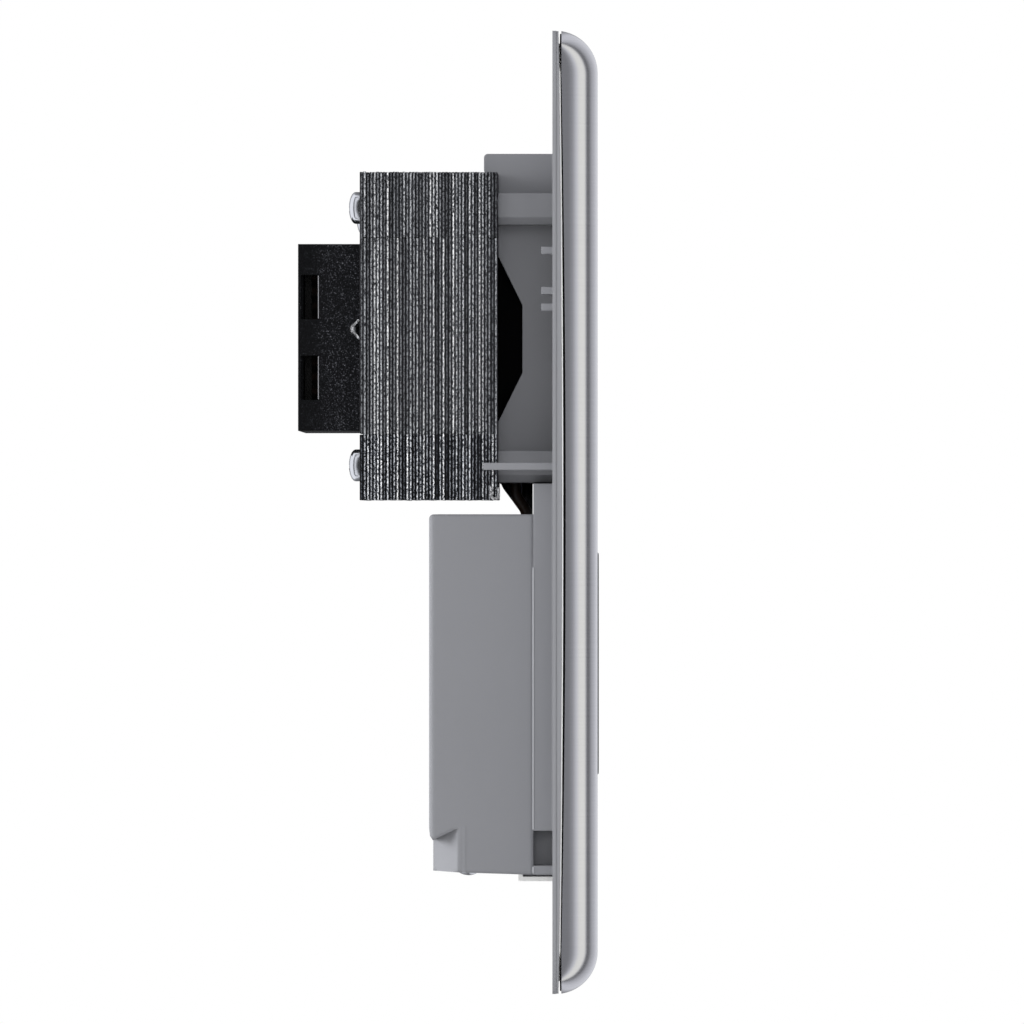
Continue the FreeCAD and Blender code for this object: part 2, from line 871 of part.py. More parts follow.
def chassis_floor(body):
    """The recess for the outlet moulding, and the floor that carries the contacts behind it."""
    reach = size.insert_gap + size.chassis_wall
    floor = sketch(body, "contact_floor", "front")
    centred(floor, 0, z_insert(), size.insert_width / 2 + reach, size.insert_height / 2 + reach)
    pad(body, floor, size.floor_back, "back")
    insert_opening(body, -size.floor_front, "forward", size.plate_projection)
    # Ribs above and below each contact hold it level.
    half = size.contact_height / 2 + size.rib_gap + size.contact_rib / 2
    ribs = sketch(body, "contact_ribs", "front")
    for row, spacing in ((z_row(1), size.pin_spacing), (z_row(-1), size.blade_spacing)):
        for sign in (-1, 1):
            for level in (-1, 1):
                middle = spacing * (sign / 2)
                centred(ribs, middle, row + half * level, size.contact_rib_half, size.contact_rib / 2)
    pad(body, ribs, size.contact_rib_reach, "back")
    # The floor is open where plug pins reach the contacts.
    pins = sketch(body, "pin_openings", "front", size.floor_back)
    for sign in (-1, 1):
        half = size.pin_aperture + size.insert_gap
        centred(pins, size.pin_spacing * (sign / 2), z_row(1), half, half)
        half_x = blade_half_reach() + size.insert_gap
        half_z = size.blade_length / 2 + size.insert_gap
        centred(pins, size.blade_spacing * (sign / 2), z_row(-1), half_x, half_z)
    pocket(body, pins, size.floor_back + size.floor_front, "forward")
    screws = sketch(body, "cover_bosses", "front")
    for sign in (-1, 1):
        half = size.cover_boss_half
        centred(screws, size.cover_screw_spacing * (sign / 2), -size.cover_screw_height, half, half)
    pad(body, screws, size.cover_boss_reach, "back")
    pilots = sketch(body, "cover_pilots", "front", size.cover_boss_reach)
    radius = size.cover_screw_shank + size.thread_gap
    for sign in (-1, 1):
        ring(pilots, size.cover_screw_spacing * (sign / 2), -size.cover_screw_height, radius)
    pocket(body, pilots, size.cover_boss_reach - size.cover_screw_reach / 2, "forward")


def chassis_openings(body):
    """Coil window, earth strap slot and box screw holes."""
    gap = size.running_gap
    window = sketch(body, "coil_window", "front")
    half_x = size.coil_cover_half_width + gap
    half_z = size.coil_cover_half_height + gap
    centred(window, 0, size.core_centre, half_x, half_z)
    pocket(body, window, size.plate_projection, "forward")
    strap_slot(body)
    fixing_holes(body, y_front(), size.fixing_radius)
    # Each box screw hole widens towards the plate.
    leads = sketch(body, "fixing_leads", "front", y_front())
    for sign in (-1, 1):
        ring(leads, 0, size.fixing_spacing * (sign / 2), size.fixing_radius + size.aperture_gap * 2)
    pocket(body, leads, size.plate_projection - size.fixing_lead_in, "back")


# Outlet moulding: the visible face with its apertures, and two shutter chambers behind.

def socket_face():
    body = new_body("socket_face")
    half_x = size.insert_width / 2
    half_z = size.insert_height / 2
    block = sketch(body, "block", "front", y_insert_back())
    centred(block, 0, z_insert(), half_x, half_z)
    pad(body, block, y_insert_back() - y_face(), "forward")
    dress(body, "Fillet", size.insert_corner, lambda edge: runs_along(edge, "y"))
    front = y_face().value
    dress(body, "Chamfer", size.insert_edge, lambda edge: near(edge.BoundBox.YMax, front))
    lip = sketch(body, "lip", "front", y_plate_back() + size.seat_gap)
    centred(lip, 0, z_insert(), half_x + size.insert_lip, half_z + size.insert_lip)
    pad(body, lip, size.insert_lip_thickness, "back")
    chambers = sketch(body, "chambers", "front", y_insert_back())
    for sign in (-1, 1):
        low = z_insert() + chamber_low() * sign
        high = z_insert() + chamber_high() * sign
        rectangle(chambers, -chamber_half(), chamber_half(), low, high)
    pocket(body, chambers, y_insert_back() - y_face_back(), "forward")
    apertures = sketch(body, "pin_apertures", "front", y_face())
    for sign in (-1, 1):
        circle(apertures, size.pin_spacing * (sign / 2), z_row(1), size.pin_aperture)
    pocket(body, apertures, size.face_thickness, "back")
    upright = sketch(body, "upright_slots", "front", y_face())
    for sign in (-1, 1):
        middle = size.blade_spacing * (sign / 2)
        centred(upright, middle, z_row(-1), size.blade_slot / 2, size.blade_length / 2)
    pocket(body, upright, size.face_thickness, "back")
    tilted = sketch(body, "tilted_slots", "front", y_face())
    for sign in (-1, 1):
        middle = size.blade_spacing * (sign / 2)
        turned(tilted, middle, z_row(-1), size.blade_slot, size.blade_length, size.blade_tilt * sign)
    pocket(body, tilted, size.face_thickness, "back")
    return body


# Sliding shutters, one for each row. A plug's pins press the ramps and move the holes into line.

def shutter(name, level, side, spacing, reach):
    """A shutter plate that opens towards one side: its holes start one travel short."""
    body = new_body(name)
    y_plate = y_face_back() + size.running_gap
    thickness = y_insert_back() - y_plate - size.running_gap + size.seat_gap
    low = z_insert() + (chamber_low() + size.running_gap) * level
    high = z_insert() + (chamber_high() - size.running_gap) * level
    free_edge = spacing / 2 + reach + size.shutter_margin
    blade = sketch(body, "blade", "front", y_plate)
    rectangle(blade, (chamber_half() - size.running_gap) * -side, free_edge * side, low, high)
    pad(body, blade, thickness, "back")
    ramp_half = reach - size.aperture_gap
    for sign in (-1, 1):
        aperture = spacing * (sign / 2)
        hole = aperture - size.shutter_travel * side
        ramp = sketch(body, "ramp", "top", z_row(level) - ramp_half)
        polygon(ramp, [(hole, y_plate), (aperture + reach * side, y_plate), (hole, y_plate + size.ramp_depth)])
        pocket(body, ramp, ramp_half * 2, "up")
    return body, y_plate, thickness


def shutter_upper():
    body, y_plate, thickness = shutter("shutter_upper", 1, 1, size.pin_spacing, size.pin_aperture)
    holes = sketch(body, "holes", "front", y_plate)
    half = size.pin_aperture + size.aperture_gap
    for sign in (-1, 1):
        middle = size.pin_spacing * (sign / 2) - size.shutter_travel
        centred(holes, middle, z_row(1), half, half)
    pocket(body, holes, thickness, "back")
    return body


def shutter_lower():
    body, y_plate, thickness = shutter("shutter_lower", -1, -1, size.blade_spacing, blade_half_reach())
    holes = sketch(body, "holes", "front", y_plate)
    half_x = blade_half_reach() + size.aperture_gap
    half_z = size.blade_length / 2 + size.aperture_gap
    for sign in (-1, 1):
        middle = size.blade_spacing * (sign / 2) + size.shutter_travel
        centred(holes, middle, z_row(-1), half_x, half_z)
    pocket(body, holes, thickness, "back")
    return body


def spring(name, level, side, free_edge):
    """A bowed strip between a shutter's free edge and the chamber wall."""
    body = new_body(name)
    middle = z_insert() + (chamber_low() + chamber_high()) / 2 * level
    y_strip = y_face_back() + size.running_gap + size.aperture_gap
    ends = chamber_half() - size.seat_gap
    bow = ends - free_edge - size.seat_gap
    thick = size.spring_strip
    span = size.spring_half_span
    outer = [(ends, span), (ends - bow * 0.55, span * 0.8), (ends - bow, span * 0.3)]
    inner = [(ends, span - thick), (ends - bow * 0.55, span * 0.8 - thick), (ends - bow + thick, span * 0.3 - thick / 2)]
    outline = outer + [(x, -z) for x, z in reversed(outer)]
    outline += [(x, -z) for x, z in inner] + list(reversed(inner))
    strip = sketch(body, "strip", "front", y_strip, (0, middle))
    polygon(strip, [(x * side, z) for x, z in outline])
    pad(body, strip, size.spring_height, "back")
    return body


def spring_upper():
    free_edge = size.pin_spacing / 2 + size.pin_aperture + size.shutter_margin
    return spring("spring_upper", 1, 1, free_edge)


def spring_lower():
    free_edge = size.blade_spacing / 2 + blade_half_reach() + size.shutter_margin
    return spring("spring_lower", -1, -1, free_edge)


# Forked spring contacts. Each has a flared mouth, a throat and a tag for its lead.

def contact(name, centre, row, throat, tag_side):
    body = new_body(name)
    strip = size.contact_strip
    mouth = throat + size.contact_flare
    straight = size.contact_body
    inner = [
        (mouth, size.contact_front),
        (throat, size.contact_throat),
        (straight, size.contact_straight),
        (straight, size.contact_back - strip),
    ]
    outer = [
        (mouth + strip, size.contact_front),
        (throat + strip, size.contact_throat),
        (straight + strip, size.contact_straight),
        (straight + strip, size.contact_back),
    ]
    outline = outer + [(-x, y) for x, y in reversed(outer)]
    outline += [(-x, y) for x, y in inner] + list(reversed(inner))
    fork = sketch(body, "fork", "top", row - size.contact_height / 2, (centre, 0))
    polygon(fork, outline)
    pad(body, fork, size.contact_height, "up")
    # The tag stands on the rear half of one jaw, and cranks forward to its lead.
    root = row + size.contact_height / 2 - strip
    back = size.contact_straight + size.tag_width
    front = size.tag_front
    tag = sketch(body, "tag", "side", centre + straight * tag_side)
    polygon(
        tag,
        [
            (size.contact_straight, root),
            (back, root),
            (back, -(size.tag_crank + 1)),
            (front + size.tag_width, -size.tag_crank),
            (front + size.tag_width, -size.tag_top),
            (front, -size.tag_top),
            (front, -(size.tag_crank + 1)),
            (size.contact_straight, -(size.tag_crank + 2)),
        ],
    )
    pad(body, tag, strip, "right" if tag_side > 0 else "left")
    return body


def contact_upper_left():
    return contact("contact_upper_left", -size.pin_spacing / 2, z_row(1), size.pin_throat, -1)


def contact_upper_right():
    return contact("contact_upper_right", size.pin_spacing / 2, z_row(1), size.pin_throat, 1)


def contact_lower_left():
    return contact("contact_lower_left", -size.blade_spacing / 2, z_row(-1), size.blade_throat, 1)


def contact_lower_right():
    return contact("contact_lower_right", size.blade_spacing / 2, z_row(-1), size.blade_throat, -1)


def common_link():
    """A strip that joins the tags of the two left contacts."""
    body = new_body("common_link")
    reach = size.contact_body + size.contact_strip
    left = -(size.pin_spacing / 2 + reach)
    right = -(size.blade_spacing / 2 - reach) + size.contact_strip
    strip = sketch(body, "strip", "front", size.tag_front + size.tag_width)
    rectangle(strip, left, right, -(size.tag_top + 1.6), -size.tag_top)
    pad(body, strip, size.contact_strip, "back")
    return body


# Rear cover: a deep housing over the contacts, with a narrower terminal block below.

def rear_cover():
    body = new_body("rear_cover")
    half = size.well_width / 2
    front = size.well_depth
    back = size.cover_back
    knee = size.overhang_root + 1.2
    bevel_start = size.terminal_back - size.terminal_bevel
    upper = sketch(body, "upper_body", "side")
    polygon(
        upper,
        [
            (front, -size.cover_top),
            (back, -size.cover_top),
            (back, -size.overhang_root),
            (back - 0.15, -knee),
            (size.terminal_back, -size.overhang_edge),
            (bevel_start, -size.overhang_root),
            (front, -size.overhang_root),
        ],
    )
    pad(body, upper, half * 2)
    rear = back.value
    dress(
        body,
        "Fillet",
        size.cover_edge_radius,
        lambda edge: near(edge.BoundBox.YMin, rear) and edge.CenterOfMass.z > -knee.value + 2,
    )
    lower = sketch(body, "terminal_block", "top", -size.cover_bottom)
    polygon(
        lower,
        [
            (-half, front),
            (half, front),
            (half, bevel_start),
            (half - size.terminal_bevel, size.terminal_back),
            (-half + size.terminal_bevel, size.terminal_back),
            (-half, bevel_start),
        ],
    )
    pad(body, lower, size.cover_bottom - size.overhang_root, "up")
    slope = sketch(body, "bottom_slope", "side")
    polygon(
        slope,
        [
            (front, -size.cover_bottom),
            (back, -size.cover_bottom + size.bottom_rise),
            (back, -size.cover_bottom - 1),
            (front, -size.cover_bottom - 1),
        ],
    )
    pocket(body, slope, half * 3)
    cover_inside(body)
    cover_holes(body)
    return body


def cover_inside(body):
    half = size.well_width / 2
    wall = size.cover_wall
    front = size.well_depth
    inner = half - wall
    step = -size.cover_inner_step
    upper = sketch(body, "upper_inside", "front", front)
    rectangle(upper, -inner, inner, step, -(size.cover_top + wall))
    pocket(body, upper, size.cover_back - wall - front, "back")
    low = -(size.cover_bottom - wall)
    narrow = inner - size.terminal_bevel + size.seat_gap
    lower = sketch(body, "lower_inside", "front", front)
    rectangle(lower, -narrow, narrow, low, step + 1)
    pocket(body, lower, size.terminal_back - wall - front, "back")
    # Walls between the terminals.
    barriers = sketch(body, "barriers", "front", size.terminal_back - wall / 2)
    for sign in (-1, 1):
        middle = size.terminal_spacing * (sign / 2)
        half_barrier = size.barrier_thickness / 2
        rectangle(barriers, middle - half_barrier, middle + half_barrier, low - wall / 2, step)
    pad(body, barriers, size.terminal_depth + wall, "forward")
    # Posts that reach the chassis' screw bosses.
    posts = sketch(body, "screw_posts", "front", size.cover_back - wall / 2)
    for sign in (-1, 1):
        reach = size.cover_boss_half + size.running_gap * 2
        centred(posts, size.cover_screw_spacing * (sign / 2), -size.cover_screw_height, reach, reach)
    top = size.cover_boss_reach + size.seat_gap
    pad(body, posts, size.cover_back - wall / 2 - top, "forward")


def cover_holes(body):
    back = size.cover_back
    sinks = sketch(body, "screw_sinks", "front", back)
    for sign in (-1, 1):
        radius = size.cover_screw_head + size.aperture_gap * 2
        ring(sinks, size.cover_screw_spacing * (sign / 2), -size.cover_screw_height, radius)
    pocket(body, sinks, back - size.cover_screw_seat, "forward")
    holes = sketch(body, "screw_holes", "front", back)
    for sign in (-1, 1):
        radius = size.cover_screw_shank + size.aperture_gap
        ring(holes, size.cover_screw_spacing * (sign / 2), -size.cover_screw_height, radius)
    pocket(body, holes, back - size.well_depth, "forward")
    notch = sketch(body, "lead_notch", "front", size.well_depth)
    rectangle(
        notch,
        -size.lead_notch_half,
        size.lead_notch_half,
        -(size.cover_top + size.cover_wall + 1),
        -size.cover_top + 1,
    )
    pocket(body, notch, size.lead_notch, "back")
    wires = sketch(body, "wire_holes", "front", back)
    drivers = sketch(body, "driver_holes", "top", -size.cover_bottom - 1)
    for place in (-1, 0, 1):
        middle = size.terminal_spacing * place
        centred(wires, middle, -size.terminal_centre, size.wire_hole, size.wire_hole)
        radius = size.terminal_screw_head + size.aperture_gap * 2
        ring(drivers, middle, size.terminal_screw_depth, radius)
    pocket(body, wires, size.cover_wall * 2, "forward")
    pocket(body, drivers, size.cover_wall + 2, "up")
    slot = sketch(body, "strap_way", "top", -size.cover_bottom - 1)
    centred(
        slot,
        0,
        size.strap_reach - size.strap_thickness / 2,
        size.strap_width / 2 + size.aperture_gap,
        size.strap_thickness / 2 + size.aperture_gap,
    )
    pocket(body, slot, size.cover_wall + 2, "up")


# Brass terminals: a block with a tunnel for the wire and a threaded hole for its screw.

def terminal(name, place):
    body = new_body(name)
    middle = size.terminal_spacing * place
    seat = size.terminal_back - size.cover_wall
    block = sketch(body, "block", "front", seat)
    centred(block, middle, -size.terminal_centre, size.terminal_width / 2, size.terminal_height / 2)
    pad(body, block, size.terminal_depth, "forward")
    tunnel = sketch(body, "wire_tunnel", "front", seat)
    centred(tunnel, middle, -size.terminal_centre, size.wire_tunnel, size.wire_tunnel)
    pocket(body, tunnel, size.terminal_depth - size.barrier_thickness, "forward")
    thread = sketch(body, "thread", "top", -(size.terminal_centre + size.terminal_height / 2))
    ring(thread, middle, size.terminal_screw_depth, size.terminal_screw_shank + size.thread_gap)
    pocket(body, thread, size.terminal_height / 2 - size.wire_tunnel / 2, "up")
    return body


def terminal_line():
    return terminal("terminal_line", -1)


def terminal_earth():
    return terminal("terminal_earth", 0)


def terminal_neutral():
    return terminal("terminal_neutral", 1)


def terminal_screws():
    """Three screws that clamp the wires from below."""
    body = new_body("terminal_screws")
    head_base = -(size.cover_bottom + size.terminal_screw_proud)
    block_base = -(size.terminal_centre + size.terminal_height / 2)
    head_top = block_base - size.running_gap
    tip = -(size.terminal_centre + size.wire_tunnel)
    heads = sketch(body, "heads", "top", head_base)
    shanks = sketch(body, "shanks", "top", head_top)
    for place in (-1, 0, 1):
        middle = size.terminal_spacing * place
        circle(heads, middle, size.terminal_screw_depth, size.terminal_screw_head)
        ring(shanks, middle, size.terminal_screw_depth, size.terminal_screw_shank)
    pad(body, heads, head_top - head_base, "up")
    pad(body, shanks, tip - head_top, "up")
    return body


def earth_strap():
    """Folded strip from the plate's back, under the housing and up to the earth terminal."""
    body = new_body("earth_strap")
    thick = size.strap_thickness
    front = y_plate_back()
    low = -size.strap_base
    high = -size.strap_rise
    back = size.terminal_back - size.cover_wall - size.terminal_depth
    reach = size.strap_reach
    strip = sketch(body, "strip", "side")
    polygon(
        strip,
        [
            (front, low),
            (reach, low),
            (reach, high - thick),
            (back, high - thick),
            (back, high),
            (reach - thick, high),
            (reach - thick, low + thick),
            (front + thick, low + thick),
            (front + thick, low + size.strap_foot),
            (front, low + size.strap_foot),
        ],
    )
    pad(body, strip, size.strap_width)
    return body


# Transformer core: E and I sheets stacked in turn, so their edges stand at two levels.

def core_laminations():
    body = new_body("core_laminations")
    front = size.core_standoff
    centre = size.core_centre
    step = size.sheet_step
    middle_window = (size.leg_width + size.window_width) / 2
    block = sketch(body, "block", "front", front)
    centred(block, 0, centre, core_half_width() - step, core_half_height())
    for sign in (-1, 1):
        centred(block, middle_window * sign, centre, size.window_width / 2, size.window_height / 2)
    pad(body, block, stack(), "back")
    yokes = sketch(body, "yoke_sheets", "front", front)
    legs = sketch(body, "leg_sheets", "front", front + size.lamination)
    for sign in (-1, 1):
        near_edge = centre + size.window_height / 2 * sign
        far_edge = centre + core_half_height() * sign
        rectangle(yokes, -core_half_width(), core_half_width(), near_edge, far_edge)
        near_side = (core_half_width() - size.side_leg) * sign
        far_side = core_half_width() * sign
        half = size.window_height / 2 - step / 2
        rectangle(legs, near_side, far_side, centre - half, centre + half)
    pitch = size.lamination * 2
    first = pad(body, yokes, size.lamination, "back")
    repeat(body, [first], "Y_Axis", pitch, size.lamination_pairs)
    second = pad(body, legs, size.lamination, "back")
    repeat(body, [second], "Y_Axis", pitch, size.lamination_pairs)
    holes = sketch(body, "screw_holes", "front", front)
    for sign in (-1, 1):
        for level in (-1, 1):
            ring(holes, hole_x() * sign, centre + hole_z() * level, size.core_hole_radius)
    pocket(body, holes, stack(), "back")
    return body


# Coil: a flanged bobbin on the centre leg, with one winding in each of its two bays.

def tube_half_x():
    return size.leg_width / 2 + size.coil_gap


def tube_half_y():
    return stack() / 2 + size.coil_gap


def bobbin():
    body = new_body("bobbin")
    wall = size.bobbin_wall
    low = size.core_centre - size.bobbin_half_height
    tube_sketch = sketch(body, "tube", "top", low)
    centred(tube_sketch, 0, y_core_middle(), tube_half_x() + wall, tube_half_y() + wall)
    pad(body, tube_sketch, size.bobbin_half_height * 2, "up")
    levels = (low, size.core_centre - wall / 2, size.core_centre + size.bobbin_half_height - wall)
    for level in levels:
        flange = sketch(body, "flange", "top", level)
        centred(flange, 0, y_core_middle(), size.bobbin_half_width, size.bobbin_half_depth)
        pad(body, flange, wall, "up")
    hole = sketch(body, "tube_hole", "top", low)
    centred(hole, 0, y_core_middle(), tube_half_x(), tube_half_y())
    pocket(body, hole, size.bobbin_half_height * 2, "up")
    return body


def winding(name, side):
    """A coil of wire, with eased corners, in the bay above or below the middle flange."""
    body = new_body(name)
    wall = size.bobbin_wall
    near_flange = size.core_centre + (wall / 2 + size.winding_gap) * side
    height = size.bobbin_half_height - wall * 1.5 - size.winding_gap * 2
    half_x = size.bobbin_half_width - size.winding_recess
    half_y = size.bobbin_half_depth - size.winding_recess
    way = "up" if side > 0 else "down"
    ring = sketch(body, "ring", "top", near_flange)
    centred(ring, 0, y_core_middle(), half_x, half_y)
    pad(body, ring, height, way)
    dress(body, "Chamfer", size.winding_corner, lambda edge: runs_along(edge, "z"))
    hole = sketch(body, "hole", "top", near_flange)
    gap = wall + size.winding_gap
    centred(hole, 0, y_core_middle(), tube_half_x() + gap, tube_half_y() + gap)
    pocket(body, hole, height, way)
    return body


def primary_winding():
    return winding("primary_winding", 1)


def secondary_winding():
    return winding("secondary_winding", -1)


def coil_cover_rear():
    """Open box over the coil behind the core, with two vents in each side."""
    body = new_body("coil_cover_rear")
    wall = size.coil_cover_wall
    centre = size.core_centre
    half_x = size.coil_cover_half_width
    half_z = size.coil_cover_half_height
    front = y_core_back() + size.coil_gap
    box = sketch(body, "box", "front", front)
    centred(box, 0, centre, half_x, half_z)
    pad(body, box, size.coil_cover_reach - front, "back")
    inside = sketch(body, "inside", "front", front)
    centred(inside, 0, centre, half_x - wall, half_z - wall)
    pocket(body, inside, size.coil_cover_reach - wall - front, "back")
    vent_back = size.coil_cover_reach - size.vent_edge
    for side, way in ((-1, "right"), (1, "left")):
        vents = sketch(body, "vents", "side", half_x * side)
        for level in (-1, 1):
            middle = centre + size.vent_spacing * (level / 2)
            half = size.vent_height / 2
            rectangle(vents, vent_back - size.vent_depth, vent_back, middle - half, middle + half)
        pocket(body, vents, wall + size.winding_gap, way)
    return body


def coil_cover_front():
    """Open box over the coil in front of the core, slotted below for the leads."""
    body = new_body("coil_cover_front")
    wall = size.coil_cover_wall
    centre = size.core_centre
    half_x = size.coil_cover_half_width
    half_z = size.coil_cover_half_height
    back = size.core_standoff - size.coil_gap
    depth = back + size.coil_cover_front
    box = sketch(body, "box", "front", back)
    centred(box, 0, centre, half_x, half_z)
    pad(body, box, depth, "forward")
    inside = sketch(body, "inside", "front", back)
    centred(inside, 0, centre, half_x - wall, half_z - wall)
    pocket(body, inside, depth - wall, "forward")
    slot = sketch(body, "lead_slot", "top", centre - half_z)
    front = size.lead_near - size.lead_radius - size.running_gap
    rectangle(slot, -(half_x - wall), half_x - wall, front, back + 1)
    pocket(body, slot, wall, "up")
    return body


def thermal_cutout():
    """Flat cut-out on the back of the primary winding."""
    body = new_body("thermal_cutout")
    middle = size.core_centre + size.bobbin_half_height / 2 - size.bobbin_wall / 4
    back = y_core_middle() + size.bobbin_half_depth - size.winding_recess
    case = sketch(body, "case", "front", back)
    centred(case, 0, middle, size.cutout_width / 2, size.cutout_height / 2)
    pad(body, case, size.cutout_thickness, "back")
    return body


def felt_pads():
    """Four felt pads behind the windings, which keep the coil still in its rear cover."""
    body = new_body("felt_pads")
    offset = size.bobbin_half_height / 2 - size.bobbin_wall / 4
    back = y_core_middle() + size.bobbin_half_depth - size.winding_recess
    half = size.felt_side / 2
    felts = sketch(body, "felts", "front", back)
    for sign in (-1, 1):
        for level in (-1, 1):
            centred(felts, size.felt_offset * sign, size.core_centre + offset * level, half, half)
    pad(body, felts, size.felt_thickness, "back")
    return body


# Screws and small folded strips.

def core_screws():
    body = new_body("core_screws")
    seat = y_core_back()
    centres = [
        (hole_x() * sign, size.core_centre + hole_z() * level)
        for sign in (-1, 1)
        for level in (-1, 1)
    ]
    heads = sketch(body, "heads", "front", seat)
    shanks = sketch(body, "shanks", "front", seat)
    for x, z in centres:
        circle(heads, x, z, size.core_screw_head)
        ring(shanks, x, z, size.core_screw_shank)
    pad(body, heads, size.core_screw_head_height, "back")
    pad(body, shanks, stack() + size.core_screw_grip, "forward")
    return body


def cover_screws():
    body = new_body("cover_screws")
    seat = size.cover_screw_seat
    heads = sketch(body, "heads", "front", seat)
    shanks = sketch(body, "shanks", "front", seat)
    for sign in (-1, 1):
        x = size.cover_screw_spacing * (sign / 2)
        circle(heads, x, -size.cover_screw_height, size.cover_screw_head)
        ring(shanks, x, -size.cover_screw_height, size.cover_screw_shank)
    pad(body, heads, size.cover_screw_head_height, "back")
    pad(body, shanks, seat - size.cover_screw_reach, "forward")
    return body


def core_earth_tag():
    """Folded strip round the core's lower front corner on the left."""
    body = new_body("core_earth_tag")
    side = -core_half_width()
    thick = size.tag_strip
    front = size.core_standoff
    low = size.core_centre - core_half_height()
    fold = sketch(body, "fold", "top", low)
    polygon(
        fold,
        [
            (side - thick, front - thick),
            (side + size.tag_length, front - thick),
            (side + size.tag_length, front),
            (side, front),
            (side, front + thick * 3),
            (side - thick, front + thick * 3),
        ],
    )
    pad(body, fold, size.tag_height, "up")
    return body


def solder_lug():
    """Folded tab on the core's rear face, left of the coil."""
    body = new_body("solder_lug")
    thick = size.tag_strip
    back = y_core_back()
    right = -(size.coil_cover_half_width + size.boss_chamfer)
    fold = sketch(body, "fold", "top", size.core_centre - thick)
    polygon(
        fold,
        [
            (right - size.tag_length * 2, back),
            (right, back),
            (right, back + thick * 4),
            (right - thick, back + thick * 4),
            (right - thick, back + thick),
            (right - size.tag_length * 2, back + thick),
        ],
    )
    pad(body, fold, size.tag_height + thick * 2, "up")
    return body


# Leads from the coil down into the housing.

def lead(name, x, start, ending):
    """A lead down from the bobbin's lower flange, forward over the well, and on to its end."""
    top = size.core_centre - size.bobbin_half_height
    depth = size.lead_depth
    shift = start - depth
    # The slanting run falls by four thirds of its run forward.
    slant_end = length(0.2)
    slant_start = slant_end + shift * (4 / 3)
    points = [(x, start, top), (x, start, slant_start), (x, depth, slant_end)]
    return tube(name, points + [(x, y, z) for y, z in ending])


def tag_end():
    return [(size.lead_depth, -size.tag_top)]


def terminal_end():
    front = size.terminal_back - size.cover_wall - size.terminal_depth
    return [(size.lead_depth, -size.terminal_centre), (front, -size.terminal_centre)]


def tag_x(spacing, side):
    """Middle of a contact's tag, from the middle of the row."""
    return spacing / 2 + (size.contact_body + size.contact_strip / 2) * side


def lead_line():
    return lead("lead_line", -size.terminal_spacing, size.lead_near, terminal_end())


def lead_neutral():
    return lead("lead_neutral", size.terminal_spacing, size.lead_near, terminal_end())


def lead_common():
    return lead("lead_common", -tag_x(size.pin_spacing, 1), size.lead_far, tag_end())


def lead_low():
    return lead("lead_low", tag_x(size.blade_spacing, -1), size.lead_far, tag_end())


def lead_high():
    return lead("lead_high", tag_x(size.pin_spacing, 1), size.lead_far, tag_end())


SUB_PARTS = [
    front_plate,
    insulating_liner,
    chassis,
    socket_face,
    shutter_upper,
    shutter_lower,
    spring_upper,
    spring_lower,
    contact_upper_left,
    contact_upper_right,
    contact_lower_left,
    contact_lower_right,
    common_link,
    rear_cover,
    cover_screws,
    terminal_line,
    terminal_earth,
    terminal_neutral,
    terminal_screws,
    earth_strap,
    core_laminations,
    bobbin,
    primary_winding,
    secondary_winding,
    coil_cover_rear,
    coil_cover_front,
    thermal_cutout,
    felt_pads,
    core_screws,
    core_earth_tag,
    solder_lug,
    lead_line,
    lead_neutral,
    lead_common,
    lead_low,
    lead_high,
]


def main():
    fill_sheet()
    os.makedirs("parts", exist_ok=True)
    made = [make() for make in SUB_PARTS]
    doc.recompute()
    for item in doc.Objects:
        if any(word in item.State for word in ("Invalid", "Error")):
            raise RuntimeError(f"{item.Label} is in error")
    for item in made:
        if item.Shape.isNull() or not item.Shape.isValid():
            raise RuntimeError(f"{item.Label} has no valid shape")
        item.Shape.exportStep(f"parts/{item.Label}.step")
        print(item.Label, len(item.Shape.Solids), round(item.Shape.Volume, 2))


main()
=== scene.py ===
# %% [markdown]
# # A shaver socket, seen from its side
#
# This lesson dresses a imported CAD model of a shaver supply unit. The unit has a pressed steel
# plate in front, and a transformer and a wiring housing behind it. Each step explains what it
# does first, and then does it in a few lines. Lengths are in metres, so a millimetre is `MM`.
#
# The frame has +Z up, +X to the right seen from the front, and +Y into the wall.

import math
import random

import bmesh
import bpy
from mathutils import Matrix, Vector


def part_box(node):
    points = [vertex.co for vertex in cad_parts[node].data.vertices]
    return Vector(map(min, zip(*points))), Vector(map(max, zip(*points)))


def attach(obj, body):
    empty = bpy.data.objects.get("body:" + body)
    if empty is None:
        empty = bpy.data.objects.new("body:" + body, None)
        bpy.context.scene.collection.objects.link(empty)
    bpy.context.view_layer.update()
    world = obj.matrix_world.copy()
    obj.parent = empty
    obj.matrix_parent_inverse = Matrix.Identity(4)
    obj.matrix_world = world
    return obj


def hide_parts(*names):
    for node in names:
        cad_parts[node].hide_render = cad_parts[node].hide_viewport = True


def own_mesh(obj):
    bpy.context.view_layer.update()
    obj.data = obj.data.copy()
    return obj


MM = 0.001
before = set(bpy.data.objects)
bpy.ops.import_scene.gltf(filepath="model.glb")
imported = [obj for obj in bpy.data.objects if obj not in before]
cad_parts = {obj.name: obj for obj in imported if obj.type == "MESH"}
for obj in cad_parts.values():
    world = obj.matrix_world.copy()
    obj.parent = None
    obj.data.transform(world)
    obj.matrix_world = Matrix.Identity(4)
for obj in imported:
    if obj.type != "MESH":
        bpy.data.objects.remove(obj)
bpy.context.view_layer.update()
print("nodes in the frame:", len(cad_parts))

# %% [markdown]
# ## Colours and shader nodes
#
# A colour is written as an sRGB hex code and turned into linear light once, so the codes can be
# read off a colour picker. One function adds a shader node of any kind. It links an input when
# it is given another node's output, and sets a plain value otherwise. A material then reads as
# a list of its nodes.


